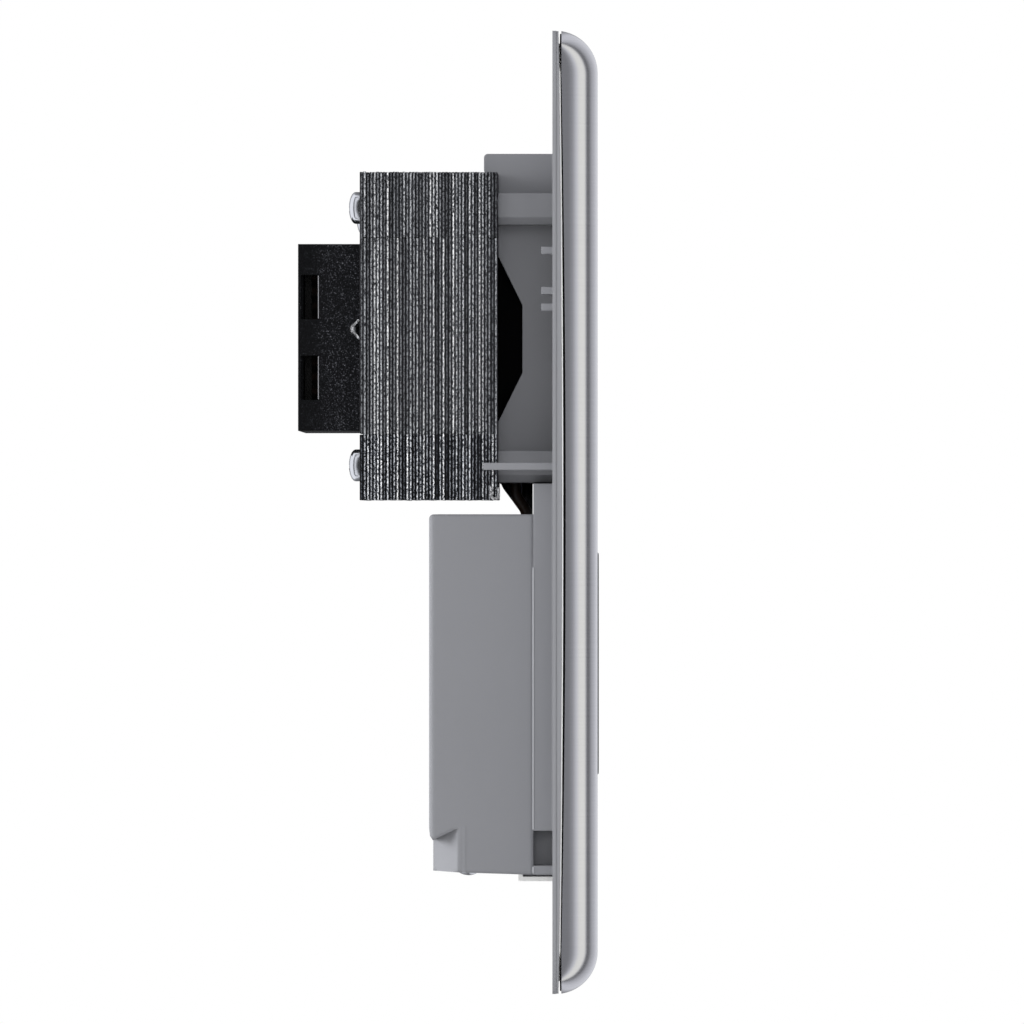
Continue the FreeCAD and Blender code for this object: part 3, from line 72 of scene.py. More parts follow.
# %% Colours and shader nodes
def linear(code):
    """Linear red, green, blue and full alpha for an sRGB hex colour."""
    parts = [int(code[i:i + 2], 16) / 255 for i in (1, 3, 5)]
    return [c / 12.92 if c <= 0.04045 else ((c + 0.055) / 1.055) ** 2.4 for c in parts] + [1.0]


def add(tree, kind, inputs=None, stops=(), **settings):
    """A new shader node. An input may be a value or the output of another node.

    The stops of a colour ramp are given as (position, colour).
    """
    made = tree.nodes.new("ShaderNode" + kind)
    for name, value in settings.items():
        setattr(made, name, value)
    for name, value in (inputs or {}).items():
        socket = made.inputs[name]
        if isinstance(value, bpy.types.NodeSocket):
            tree.links.new(value, socket)
        else:
            socket.default_value = value
    if stops:
        elements = made.color_ramp.elements
        while len(elements) < len(stops):
            elements.new(0.5)
        for element, (position, colour) in zip(elements, stops):
            element.position = position
            element.color = colour
    return made


def new_material(name):
    """A material with its tree emptied down to one surface node and one output."""
    made = bpy.data.materials.new(name)
    made.use_nodes = True
    tree = made.node_tree
    tree.nodes.clear()
    surface = add(tree, "BsdfPrincipled")
    add(tree, "OutputMaterial", {"Surface": surface.outputs["BSDF"]})
    place = add(tree, "TexCoord").outputs["Object"]
    return made, tree, surface, place


print("white in linear light:", linear("#ffffff"))


# %% [markdown]
# ## Mouldings
#
# The chassis and the housing are moulded in a mid-grey thermoset. Its faces carry a fine
# spark-eroded grain, and its edges are slightly soft. Soft edges could be modelled on every
# piece. The `Bevel` node rounds only their shading, which costs no geometry and is enough for
# radii of a few tenths of a millimetre. A slow mottle keeps large faces from looking flat.
#
# The grain of the real moulding is about 0.05 mm, too fine to show at this distance, so it is
# drawn at a few tenths of a millimetre.


# %% Moulded plastics
def press_in(tree, surface, height, depth_mm, edge_mm):
    """Soft edges, and a height pattern that is pressed into the faces."""
    soft = add(tree, "Bevel", {"Radius": edge_mm * MM}, samples=4)
    pattern = {"Height": height, "Distance": depth_mm * MM, "Strength": 1.0}
    bump = add(tree, "Bump", {**pattern, "Normal": soft.outputs["Normal"]})
    tree.links.new(bump.outputs["Normal"], surface.inputs["Normal"])


def moulding(name, colour, roughness, grain_mm, depth_mm, edge_mm, mottle, gloss=0.5):
    """A moulded plastic with a grain, soft edges and a slow change of shade."""
    made, tree, surface, place = new_material(name)
    cloud = add(tree, "TexNoise", {"Vector": place, "Scale": 1 / (14 * MM), "Detail": 3.0})
    shade = add(
        tree,
        "MapRange",
        {"Value": cloud.outputs["Fac"], "To Min": 1 - mottle, "To Max": 1 + mottle},
    )
    tint = add(
        tree,
        "Mix",
        {"Factor": 1.0, "A": linear(colour), "B": shade.outputs["Result"]},
        data_type="RGBA",
        blend_type="MULTIPLY",
    )
    tree.links.new(tint.outputs["Result"], surface.inputs["Base Color"])
    grain = add(tree, "TexNoise", {"Vector": place, "Scale": 1 / (grain_mm * MM), "Detail": 2.0})
    rough = add(
        tree,
        "MapRange",
        {"Value": grain.outputs["Fac"], "To Min": roughness - 0.06, "To Max": roughness + 0.06},
    )
    tree.links.new(rough.outputs["Result"], surface.inputs["Roughness"])
    surface.inputs["Specular IOR Level"].default_value = gloss
    press_in(tree, surface, grain.outputs["Fac"], depth_mm, edge_mm)
    return made


grey = moulding("grey thermoset", "#747579", 0.5, 0.35, 0.006, 0.3, 0.02)
corner_finish = moulding("grey thermoset, folded corner", "#6f7074", 0.5, 0.35, 0.006, 0.02, 0.02)
housing_finish = moulding("grey thermoset, soft edges", "#6f7074", 0.5, 0.35, 0.006, 0.9, 0.02)
step_finish = moulding("grey thermoset, thin step", "#77787c", 0.5, 0.35, 0.006, 0.1, 0.02)
# painted highlight: a light grey for the beads that stand in for the glint on the housing's edge
painted_highlight_bead_finish = moulding("grey thermoset bead with painted highlight", "#a2a3a7", 0.4, 0.35, 0.004, 0.02, 0.02)
black = moulding("black outlet thermoset", "#17181b", 0.38, 0.5, 0.004, 0.2, 0.05)
nylon = moulding("black nylon bobbin", "#1d1e20", 0.5, 0.6, 0.006, 0.15, 0.05)
shutter_finish = moulding("ivory acetal", "#c9c4b6", 0.35, 0.8, 0.002, 0.15, 0.02)
sheet_finish = moulding("white insulating film", "#fafafa", 0.45, 1.2, 0.001, 0.05, 0.01)
front_cover_finish = moulding("black coil cover", "#020203", 0.5, 0.4, 0.004, 0.2, 0.1, 0.06)
# painted shadow: a black for the frame that stands in for the shade in the rim gap
rim_shadow_finish = moulding("black rim frame with painted shadow", "#060607", 0.8, 0.3, 0.03, 0.1, 0.2, 0.1)
# painted highlight: a pale grey for the light caught by the front edges of the vents
vent_highlight_finish = moulding("pale vent lip with painted highlight", "#79797d", 0.6, 0.2, 0.02, 0.05, 0.4)
felt = moulding("black felt", "#141414", 0.9, 0.4, 0.1, 0.2, 0.3)
print("mouldings:", [m.name for m in (grey, black, nylon, shutter_finish, sheet_finish, felt)])

# %% [markdown]
# ## Dusty coil covers
#
# The coil covers are moulded in black nylon, and fine swarf from the core has settled on them.
# The specks could be scattered grains, but they are far smaller than a face. A noise with a
# high threshold draws them, and a slow noise decides where they gather. They thin out towards
# the rear. The specks are drawn at 0.2 mm, coarser than real swarf, so that they show.

# %% Coil cover material
CLEAN_FROM, CLEAN_TO = 34.6, 38
cover_finish, tree, surface, place = new_material("black coil cover with dust")
gather = add(tree, "TexNoise", {"Vector": place, "Scale": 1 / (3 * MM), "Detail": 3.0})
speck = add(
    tree,
    "TexNoise",
    {"Vector": place, "Scale": 1 / (0.2 * MM), "Detail": 3.0, "Roughness": 0.7},
)
depth = add(tree, "SeparateXYZ", {"Vector": place}).outputs["Y"]
clean = add(
    tree,
    "MapRange",
    {"Value": depth, "From Min": CLEAN_FROM * MM, "From Max": CLEAN_TO * MM, "To Max": 0.09},
).outputs["Result"]
patchy = add(
    tree, "MapRange", {"Value": gather.outputs["Fac"], "To Min": -0.05, "To Max": 0.05}
).outputs["Result"]
bias = add(tree, "Math", {0: patchy, 1: clean}, operation="SUBTRACT").outputs["Value"]
both = add(tree, "Math", {0: speck.outputs["Fac"], 1: bias}, operation="ADD")
dust = add(
    tree,
    "ValToRGB",
    {"Fac": both.outputs["Value"]},
    stops=[
        (0.3, linear("#060607")),
        (0.52, linear("#0c0d0f")),
        (0.6, linear("#1f2024")),
        (0.74, linear("#6c6d72")),
    ],
)
tree.links.new(dust.outputs["Color"], surface.inputs["Base Color"])
surface.inputs["Roughness"].default_value = 0.6
surface.inputs["Specular IOR Level"].default_value = 0.12
press_in(tree, surface, speck.outputs["Fac"], depth_mm=0.02, edge_mm=0.25)
print("coil cover material ready")

# %% [markdown]
# ## Metals
#
# Brushed and drawn metals share one recipe. A noise is stretched along one direction, so it
# turns into fine lines. The lines change the roughness and the shade a little, and press
# themselves into the surface as a shallow bump. The plate is brushed across its width, so its
# lines run along X and round the press at both sides. Zinc plate is bright and even, and the
# tinned strips of the tags are speckled by the solder that ran over them. The earth strap
# carries a painted reflection: a near-white, almost unmetallic colour stands in for the white
# surroundings that its tinned face mirrors.


# %% Metal recipe
def metal(name, colour, roughness, line_mm, stretch, depth_mm, swing=0.06, metallic=1.0):
    """A metal with fine lines. The stretch gives how much longer a line is than wide, per axis."""
    made, tree, surface, place = new_material(name)
    drawn = add(tree, "Mapping", {"Vector": place, "Scale": [1 / s for s in stretch]})
    lines = add(
        tree,
        "TexNoise",
        {"Vector": drawn.outputs["Vector"], "Scale": 1 / (line_mm * MM), "Detail": 3.0},
    )
    shade = add(
        tree,
        "MapRange",
        {"Value": lines.outputs["Fac"], "To Min": 1 - swing, "To Max": 1 + swing},
    )
    tint = add(
        tree,
        "Mix",
        {"Factor": 1.0, "A": linear(colour), "B": shade.outputs["Result"]},
        data_type="RGBA",
        blend_type="MULTIPLY",
    )
    tree.links.new(tint.outputs["Result"], surface.inputs["Base Color"])
    rough = add(
        tree,
        "MapRange",
        {"Value": lines.outputs["Fac"], "To Min": roughness - 0.05, "To Max": roughness + 0.05},
    )
    tree.links.new(rough.outputs["Result"], surface.inputs["Roughness"])
    surface.inputs["Metallic"].default_value = metallic
    press_in(tree, surface, lines.outputs["Fac"], depth_mm, edge_mm=0.1)
    return made


EVEN = (1, 1, 1)
brushed = metal("brushed stainless steel", "#c4c4c7", 0.16, 0.15, (300, 300, 1), 0.0003, swing=0.1)
zinc = metal("bright zinc plated steel", "#d5d7da", 0.14, 0.8, EVEN, 0.004)
spring = metal("spring steel", "#9fa3a8", 0.25, 0.2, (60, 1, 1), 0.001)
bronze = metal("phosphor bronze", "#c89a62", 0.28, 0.2, (1, 1, 40), 0.001)
brass = metal("turned brass", "#d9b45c", 0.25, 0.15, (1, 60, 1), 0.002)
speckled = metal("tinned strip with solder", "#e8e8e6", 0.25, 0.35, EVEN, 0.12, swing=0.9)
# painted reflection: a near-white, almost unmetallic colour stands in for the white surroundings
# that the tinned strap mirrors
bright = metal("tinned strip with painted white reflection", "#fbfbf9", 0.45, 0.9, EVEN, 0.002, swing=0.02, metallic=0.1)
print("metals:", [m.name for m in (brushed, zinc, spring, bronze, brass, speckled, bright)])

# %% [markdown]
# ## Sheared core steel
#
# The core is a stack of thin sheets of transformer steel. Each sheared edge shows its own
# shade, because the `Random Per Island` output differs from sheet to sheet. Across its edge, a
# sheet goes from painted shade at the gap before it, over a bright shorn band and a dull torn
# one, to painted shade at the gap after it. A ramp over the depth, which repeats every 0.5 mm,
# draws that on all sheets at once.

# %% Core steel: shade of each sheet, and across its edge, with painted shade at the gaps
CORE_Y = 8.4
SHEET = 0.5
core_finish, tree, surface, place = new_material("sheared transformer steel")
island = add(tree, "NewGeometry").outputs["Random Per Island"]
tone = add(
    tree,
    "ValToRGB",
    {"Fac": island},
    stops=[
        (0.0, linear("#56585c")),
        (0.4, linear("#8d8f93")),
        (0.75, linear("#c9cbce")),
        (1.0, linear("#ffffff")),
    ],
)
depth = add(tree, "SeparateXYZ", {"Vector": place}).outputs["Y"]
sheets = add(tree, "Math", {0: depth, 1: CORE_Y * MM}, operation="SUBTRACT").outputs["Value"]
count = add(tree, "Math", {0: sheets, 1: SHEET * MM}, operation="DIVIDE").outputs["Value"]
across = add(tree, "Math", {0: count}, operation="FRACT").outputs["Value"]
# painted shade: the dark ends of this ramp stand for the shade in the gaps between the sheets
edge_and_gap_shade = add(
    tree,
    "ValToRGB",
    {"Fac": across},
    stops=[
        (0.0, linear("#0a0a0c")),
        (0.14, linear("#8a8b8e")),
        (0.32, linear("#ffffff")),
        (0.5, linear("#ffffff")),
        (0.66, linear("#7d7f83")),
        (0.9, linear("#26272a")),
        (1.0, linear("#08080a")),
    ],
)
print("stops across an edge:", len(edge_and_gap_shade.color_ramp.elements))

# %% [markdown]
# The punch tore the metal along its travel, so the edges are broken up by short marks, longer in
# Z than across. A rough noise gives them. Below the foot line the stripes get more contrast and
# a lift, a painted light and shade for sheets that stand forward and back at the foot of the
# stack.

# %% Core steel: torn marks, and painted light and shade at the foot
FOOT_Z = 11.7
along = add(tree, "Mapping", {"Vector": place, "Scale": (1.0, 1.0, 0.5)})
tear = add(
    tree,
    "TexNoise",
    {"Vector": along.outputs["Vector"], "Scale": 1 / (0.2 * MM), "Detail": 5.0, "Roughness": 0.8},
)
patch = add(
    tree,
    "ValToRGB",
    {"Fac": tear.outputs["Fac"]},
    stops=[(0.42, linear("#1a1b1e")), (0.49, linear("#8a8c90")), (0.54, linear("#ffffff"))],
)
mixed = add(
    tree,
    "Mix",
    {"Factor": 1.0, "A": tone.outputs["Color"], "B": patch.outputs["Color"]},
    data_type="RGBA",
    blend_type="MULTIPLY",
)
lined = add(
    tree,
    "Mix",
    {"Factor": 1.0, "A": mixed.outputs["Result"], "B": edge_and_gap_shade.outputs["Color"]},
    data_type="RGBA",
    blend_type="MULTIPLY",
)
level = add(tree, "SeparateXYZ", {"Vector": place}).outputs["Z"]
# painted light and shade: below FOOT_Z the stripes get more contrast and brightness, for sheets
# that stand forward and back
foot = add(
    tree,
    "MapRange",
    {
        "Value": level,
        "From Min": FOOT_Z * MM,
        "From Max": (FOOT_Z + 0.2) * MM,
        "To Min": 0.5,
        "To Max": 0.0,
    },
)
painted_foot_lift = add(tree, "Math", {0: foot.outputs["Result"], 1: 0.32}, operation="MULTIPLY")
marks_and_foot_shading = add(
    tree,
    "BrightContrast",
    {
        "Color": lined.outputs["Result"],
        "Bright": painted_foot_lift.outputs["Value"],
        "Contrast": foot.outputs["Result"],
    },
)
print("torn marks ready")

# %% [markdown]
# The broad face of the last sheet wasn't sheared. It keeps the dull grey oxide of the rolled
# steel, which is chosen where the surface faces along Y.

# %% Core steel: oxide on the broad face
facing = add(tree, "SeparateXYZ", {"Vector": add(tree, "NewGeometry").outputs["Normal"]})
turned = add(tree, "Math", {0: facing.outputs["Y"]}, operation="ABSOLUTE").outputs["Value"]
flat = add(tree, "Math", {0: turned, 1: 0.8}, operation="GREATER_THAN").outputs["Value"]
cloud = add(tree, "TexNoise", {"Vector": place, "Scale": 1 / (4 * MM), "Detail": 4.0})
oxide = add(
    tree,
    "ValToRGB",
    {"Fac": cloud.outputs["Fac"]},
    stops=[(0.35, linear("#3c3e42")), (0.5, linear("#54565a")), (0.65, linear("#6b6d71"))],
)
shown = add(
    tree,
    "Mix",
    {"Factor": flat, "A": marks_and_foot_shading.outputs["Color"], "B": oxide.outputs["Color"]},
    data_type="RGBA",
)
tree.links.new(shown.outputs["Result"], surface.inputs["Base Color"])
surface.inputs["Metallic"].default_value = 0.25
surface.inputs["Roughness"].default_value = 0.4
bump = add(tree, "Bump", {"Height": tear.outputs["Fac"], "Distance": 0.08 * MM, "Strength": 1.0})
tree.links.new(bump.outputs["Normal"], surface.inputs["Normal"])
print("core steel ready")

# %% [markdown]
# ## Wire and sleeves
#
# The windings are enamelled copper under thin varnished tape. The wire could be modelled turn
# by turn, but it is out of sight, and only the dark tape can be glimpsed through the vents. A
# wave with the pitch of the wire, 0.35 mm, is pressed into the tape. The leads have extruded
# sleeves, smooth and a little glossy.


# %% Wire and sleeve materials
WIRE_PITCH = 0.35
WAVES_PER_UNIT = 20
winding, tree, surface, place = new_material("winding under varnished tape")
turns = add(
    tree,
    "TexWave",
    {"Vector": place, "Scale": 1 / (WAVES_PER_UNIT * WIRE_PITCH * MM), "Distortion": 0.4},
    wave_type="BANDS",
    bands_direction="Z",
)
tape_tone = add(
    tree,
    "ValToRGB",
    {"Fac": turns.outputs["Fac"]},
    stops=[(0.0, linear("#050505")), (0.5, linear("#0d0b0a")), (1.0, linear("#1a1310"))],
)
tree.links.new(tape_tone.outputs["Color"], surface.inputs["Base Color"])
surface.inputs["Roughness"].default_value = 0.4
bump = add(tree, "Bump", {"Height": turns.outputs["Fac"], "Distance": 0.06 * MM, "Strength": 1.0})
tree.links.new(bump.outputs["Normal"], surface.inputs["Normal"])


def sleeve(name, colour):
    """An extruded sleeve, smoother than a moulding."""
    return moulding(name, colour, 0.3, 1.5, 0.01, 0.05, 0.08)


brown_sleeve = sleeve("brown sleeve", "#1c120d")
blue_sleeve = sleeve("blue sleeve", "#1d3f8a")
black_sleeve = sleeve("black sleeve", "#101013")
print("sleeves:", brown_sleeve.name, blue_sleeve.name, black_sleeve.name)

# %% [markdown]
# ## Mesh tools
#
# Meshes are made with `bmesh` operators, on a mesh that is in no scene yet. The menu commands
# do the same to a selection, but a script would have to make that selection first. One
# function turns a finished mesh into an object that rides on a body of the frame. Its place
# stays in its mesh, as it does for a CAD piece, so patterns on object coordinates stay where
# they are. The others make a block, round edges, pick vertices or edges, cut along a plane and
# add a mesh to another.


# %% Meshes and objects
def to_object(bm, name, finish, body="unit", smooth_angle=30):
    """The finished mesh as an object that rides on a body of the frame."""
    bmesh.ops.remove_doubles(bm, verts=bm.verts, dist=1e-7)
    bmesh.ops.recalc_face_normals(bm, faces=bm.faces)
    for face in bm.faces:
        face.smooth = True
    for edge in bm.edges:
        edge.smooth = edge.is_manifold and edge.calc_face_angle() < math.radians(smooth_angle)
    mesh = bpy.data.meshes.new(name)
    bm.to_mesh(mesh)
    bm.free()
    made = bpy.data.objects.new(name, mesh)
    bpy.context.scene.collection.objects.link(made)
    mesh.materials.append(finish)
    if body:
        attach(made, body)
    return made


def box(bm, low, high):
    """A block between two corners, in millimetres."""
    low, high = Vector(low) * MM, Vector(high) * MM
    scale = Matrix.Diagonal((*(high - low), 1))
    bmesh.ops.create_cube(bm, size=1, matrix=Matrix.Translation((low + high) / 2) @ scale)


def bevel(bm, edges, offset, segments):
    """Rounds edges by an offset in millimetres."""
    bmesh.ops.bevel(
        bm,
        geom=edges,
        offset=offset * MM,
        segments=segments,
        profile=0.5,
        affect="EDGES",
        material=-1,
    )


def verts_in(geometry):
    """The vertices among the results of an operator."""
    return [item for item in geometry if isinstance(item, bmesh.types.BMVert)]


def edges_in_y(bm):
    """The edges that run along Y, from the front to the back."""
    return [e for e in bm.edges if abs((e.verts[0].co - e.verts[1].co).y) > 1e-5]


def divide(bm, point, normal, clear=False):
    """Cuts along a plane. With clear, all that lies on the normal's side of it goes."""
    bmesh.ops.bisect_plane(
        bm,
        geom=bm.verts[:] + bm.edges[:] + bm.faces[:],
        plane_co=point,
        plane_no=normal,
        clear_outer=clear,
    )


def merge(bm, part, move=None):
    """Adds a copy of one mesh to another. The copy can be moved by a matrix."""
    copy = bpy.data.meshes.new("copy")
    part.to_mesh(copy)
    if move:
        copy.transform(move)
    bm.from_mesh(copy)
    bpy.data.meshes.remove(copy)


print("mesh tools ready")

# %% [markdown]
# ## The core, sheet by sheet
#
# The core holds 42 sheets of 0.5 mm. Each layer is an E and an I, and the layers alternate, so
# the joints stand high in one layer and low in the next. A texture could draw the sheets, but
# modelled ones also show their joints and their ragged ends. One E and one I are laid out flat,
# given their thickness and broken along their rims.
#
# The centre limb is 20 mm wide, and the windows and the outer limbs 10 mm each. A sheet fills
# 96 % of its pitch.

# %% One E sheet and one I sheet
LAYERS = 42
CORE_LOW, CORE_HIGH = 1.9, 51.9
CORE_HALF = 30.0
JOINT_DROP = 10.1
JOINT_GAP = 0.1
WINDOW_FROM, WINDOW_TO, YOKE = 10, 20, 10


def sheet_outline(bm, low, high, cuts_x, cuts_z, keep):
    """A flat sheet in the XZ plane, cut along lines, that keeps only the wanted patches."""
    turn = Matrix.Rotation(math.radians(90), 4, "X")
    scale = Matrix.Diagonal((CORE_HALF * MM, 1, (high - low) / 2 * MM, 1))
    middle = Matrix.Translation((0, 0, (low + high) / 2 * MM))
    bmesh.ops.create_grid(bm, x_segments=1, y_segments=1, size=1, matrix=middle @ scale @ turn)
    for x in cuts_x:
        divide(bm, (x * MM, 0, 0), (1, 0, 0))
    for z in cuts_z:
        divide(bm, (0, 0, z * MM), (0, 0, 1))
    waste = [f for f in bm.faces if not keep(f.calc_center_median() / MM)]
    bmesh.ops.delete(bm, geom=waste, context="FACES")


def thicken(bm):
    """Gives the sheet its thickness and breaks its sharp edges."""
    grown = bmesh.ops.extrude_face_region(bm, geom=bm.faces[:])["geom"]
    bmesh.ops.translate(bm, verts=verts_in(grown), vec=(0, SHEET * 0.96 * MM, 0))
    bmesh.ops.recalc_face_normals(bm, faces=bm.faces)
    bmesh.ops.dissolve_limit(bm, angle_limit=0.01, verts=bm.verts, edges=bm.edges)
    upright = edges_in_y(bm)
    level = [e for e in bm.edges if e.is_manifold and e not in upright]
    bevel(bm, [e for e in level if e.calc_face_angle() > 1], 0.07, 1)


def outside_windows(middle):
    """Whether a patch of the E sheet, given by its middle, belongs to a limb or the yoke."""
    window = WINDOW_FROM < abs(middle.x) < WINDOW_TO and middle.z > CORE_LOW + YOKE
    return not window


joint = CORE_HIGH - JOINT_DROP
window_sides = (-WINDOW_TO, -WINDOW_FROM, WINDOW_FROM, WINDOW_TO)
e_sheet = bmesh.new()
sheet_outline(e_sheet, CORE_LOW, joint, window_sides, (CORE_LOW + YOKE,), outside_windows)
thicken(e_sheet)
i_sheet = bmesh.new()
sheet_outline(i_sheet, joint + JOINT_GAP, CORE_HIGH, (), (), lambda middle: True)
thicken(i_sheet)
print("E sheet faces:", len(e_sheet.faces), "I sheet faces:", len(i_sheet.faces))

# %% [markdown]
# Every layer is a copy of the two sheets, upside down in every second one. Each sheet is shifted
# by a few hundredths of a millimetre. An array of equal copies would be simpler, but the edges
# of a real stack never line up so well.

# %% The stack
RAGGED_X, RAGGED_Z = 0.07, 0.022
draw = random.Random(11)
stack = bmesh.new()
flip = Matrix.Translation((0, 0, (CORE_LOW + CORE_HIGH) * MM)) @ Matrix.Diagonal((1, 1, -1, 1))
for layer in range(LAYERS):
    for pattern in (e_sheet, i_sheet):
        shift = Vector((draw.gauss(0, RAGGED_X), 0, draw.gauss(0, RAGGED_Z))) * MM
        shift.y = (CORE_Y + layer * SHEET) * MM
        move = Matrix.Translation(shift) @ (flip if layer % 2 else Matrix.Identity(4))
        merge(stack, pattern, move)
e_sheet.free()
i_sheet.free()
core = to_object(stack, "core_sheets", core_finish)
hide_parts("core_laminations")
print("core faces:", len(core.data.polygons))

# %% [markdown]
# ## The pressed plate
#
# The plate is pressed from 1 mm steel sheet. A profile swept along the outline would pinch at
# the corners, so it starts as a block. Its plan corners are rounded first, and then its front
# edge, as the press would do. A second, smaller block of the same form hollows it out.
#
# The press has a radius of 6.45 mm, and the rim ends 5.5 mm behind the front, before the sweep
# has turned fully. The blocks are a little larger than the plate, so that the rim measures
# 86 by 146 mm where it ends.

# %% Blocks for the plate
PLATE_HALF_X, PLATE_HALF_Z = 43, 73
PLATE_FRONT = -6.86
PLATE_SHEET = 1
PLAN_CORNER = 7
PRESS = 6.45
PRESS_DEPTH = 5.5
RIM = -1.36
RELIEF = 0.65
BLOCK_DEPTH = 12
left_over = PRESS - PRESS_DEPTH
overhang = PRESS - math.sqrt(PRESS ** 2 - left_over ** 2)


def rounded_block(inset):
    """A block with rounded plan corners and a rounded front edge, set in from the outline."""
    bm = bmesh.new()
    half_x, half_z = PLATE_HALF_X + overhang - inset, PLATE_HALF_Z + overhang - inset
    front = PLATE_FRONT + inset
    box(bm, (-half_x, front, -half_z), (half_x, front + BLOCK_DEPTH, half_z))
    bevel(bm, edges_in_y(bm), PLAN_CORNER - inset, 14)
    rims = [e for e in bm.edges if all(abs(v.co.y - front * MM) < 1e-6 for v in e.verts)]
    bevel(bm, rims, PRESS - inset, 18)
    return bm


def loose(bm, name):
    """A mesh as a plain object, for use in a cut."""
    bmesh.ops.recalc_face_normals(bm, faces=bm.faces)
    mesh = bpy.data.meshes.new(name)
    bm.to_mesh(mesh)
    bm.free()
    made = bpy.data.objects.new(name, mesh)
    bpy.context.scene.collection.objects.link(made)
    return made


def cut(target, tool):
    """Takes the tool's volume out of the target, and removes the tool."""
    step = target.modifiers.new("cut", "BOOLEAN")
    step.operation = "DIFFERENCE"
    step.solver = "EXACT"
    step.object = tool
    solved = target.evaluated_get(bpy.context.evaluated_depsgraph_get())
    mesh = bpy.data.meshes.new_from_object(solved)
    target.modifiers.remove(step)
    old = target.data
    target.data = mesh
    bpy.data.meshes.remove(old)
    bpy.data.objects.remove(tool)


def unpack(made):
    """The mesh of a plain object, ready for more work. The object goes."""
    bm = bmesh.new()
    bm.from_mesh(made.data)
    bpy.data.objects.remove(made)
    return bm


blank = loose(rounded_block(0), "blank")
cut(blank, loose(rounded_block(PLATE_SHEET), "hollow"))
print("plate shell faces:", len(blank.data.polygons))

# %% [markdown]
# The last cuts are the rim, which is eased forward along both long sides, the opening for the
# outlet moulding and the two countersunk holes. Each takes a plain solid away, because the cuts
# cross the bevels. A narrow border round the flat front keeps its shading flat.

# %% Rim, opening and holes
BOW_STEPS = 40
OPENING_HALF_X = 25.15
OPENING_LOW, OPENING_HIGH = -40.45, -5.85
FIXING_Z = 60.3


def bow_tool(level, reach, bow, half):
    """A long block from a level on, in Y. Its face at the level bows forward along Z."""
    bm = bmesh.new()
    box(bm, (-60, min(level, level + reach), -90), (60, max(level, level + reach), 90))
    for i in range(BOW_STEPS + 1):
        z = half * (2 * i / BOW_STEPS - 1)
        divide(bm, (0, 0, z * MM), (0, 0, 1))
    for vert in bm.verts:
        if abs(vert.co.y - level * MM) < 1e-6 and abs(vert.co.z) < half * MM:
            vert.co.y -= bow * MM * (1 - (vert.co.z / (half * MM)) ** 2)
    return loose(bm, "bow")


cut(blank, bow_tool(RIM, 20, RELIEF, 66))
opening = bmesh.new()
box(opening, (-OPENING_HALF_X, -20, OPENING_LOW), (OPENING_HALF_X, 0, OPENING_HIGH))
bevel(opening, edges_in_y(opening), 1.5, 6)
cut(blank, loose(opening, "opening"))
turn = Matrix.Rotation(math.radians(90), 4, "X")
for z in (-FIXING_Z, FIXING_Z):
    sink = bmesh.new()
    middle = Matrix.Translation((0, (PLATE_FRONT + 0.7) * MM, z * MM))
    bmesh.ops.create_cone(
        sink,
        cap_ends=True,
        segments=48,
        radius1=2.2 * MM,
        radius2=3.8 * MM,
        depth=1.8 * MM,
        matrix=middle @ turn,
    )
    cut(blank, loose(sink, "sink"))
shell = unpack(blank)
front = [f for f in shell.faces if abs(f.calc_center_median().y - PLATE_FRONT * MM) < 1e-6]
bmesh.ops.inset_region(shell, faces=front, thickness=0.2 * MM, use_even_offset=True)
plate = to_object(shell, "pressed_plate", brushed, smooth_angle=20)
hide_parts("front_plate")
print("plate faces:", len(plate.data.polygons))

# %% [markdown]
# ## Two thin frames behind the rim
#
# A second, thinner step of the flange carries the pale sheet, and a black frame fills the gap
# between the sheet and the rim of the plate, a painted shadow where that gap lies in shade. Both
# are flat frames whose faces follow the long bow of the sheet and the rim. They are cut with the
# tool that eased the rim, so that the bows match.


# %% Step and shadow frame
def thin_frame(name, inset, corner, width, back, front, finish):
    """A frame inside the plate's outline. Each face is given as (level, bow, half length)."""
    blocks = []
    for from_edge, radius, depth in ((inset, corner, 2), (inset + width, corner - width, 4)):
        half_x, half_z = PLATE_HALF_X - from_edge, PLATE_HALF_Z - from_edge
        bm = bmesh.new()
        box(bm, (-half_x, -depth, -half_z), (half_x, depth, half_z))
        bevel(bm, edges_in_y(bm), radius, 10)
        blocks.append(loose(bm, name))
    whole, inner = blocks
    cut(whole, inner)
    for (level, bow, half), reach in ((back, 20), (front, -20)):
        cut(whole, bow_tool(level, reach, bow, half))
    return to_object(unpack(whole), name, finish)


step = thin_frame(
    "flange_step",
    inset=0.06,
    corner=5.9,
    width=0.9,
    back=(-0.6, 0, 72),
    front=(-0.93, 0.49, 72),
    finish=step_finish,
)
# painted shadow: a black frame for the shade in the gap between the pale sheet and the rim
shadow_frame = thin_frame(
    "rim_shadow_frame",
    inset=0.46,
    corner=5.54,
    width=2.1,
    back=(-1.14, 0.5, 71),
    front=(-1.34, RELIEF, 66),
    finish=rim_shadow_finish,
)
print("frames:", step.name, shadow_frame.name)

# %% [markdown]
# ## Soft corners of the housing
#
# The lower part of the housing has two bevelled upright corners under an overhang. The CAD mesh
# there is a few long triangles, which bevel badly, so a thin wall is laid over each corner. It
# runs straight, turns across the corner and runs straight again, with its folds rounded. Its
# top is cut along the slope of the overhang, and its foot along the slope of the housing's
# bottom. It stands 0.02 mm proud of the housing, so that it is what shows.

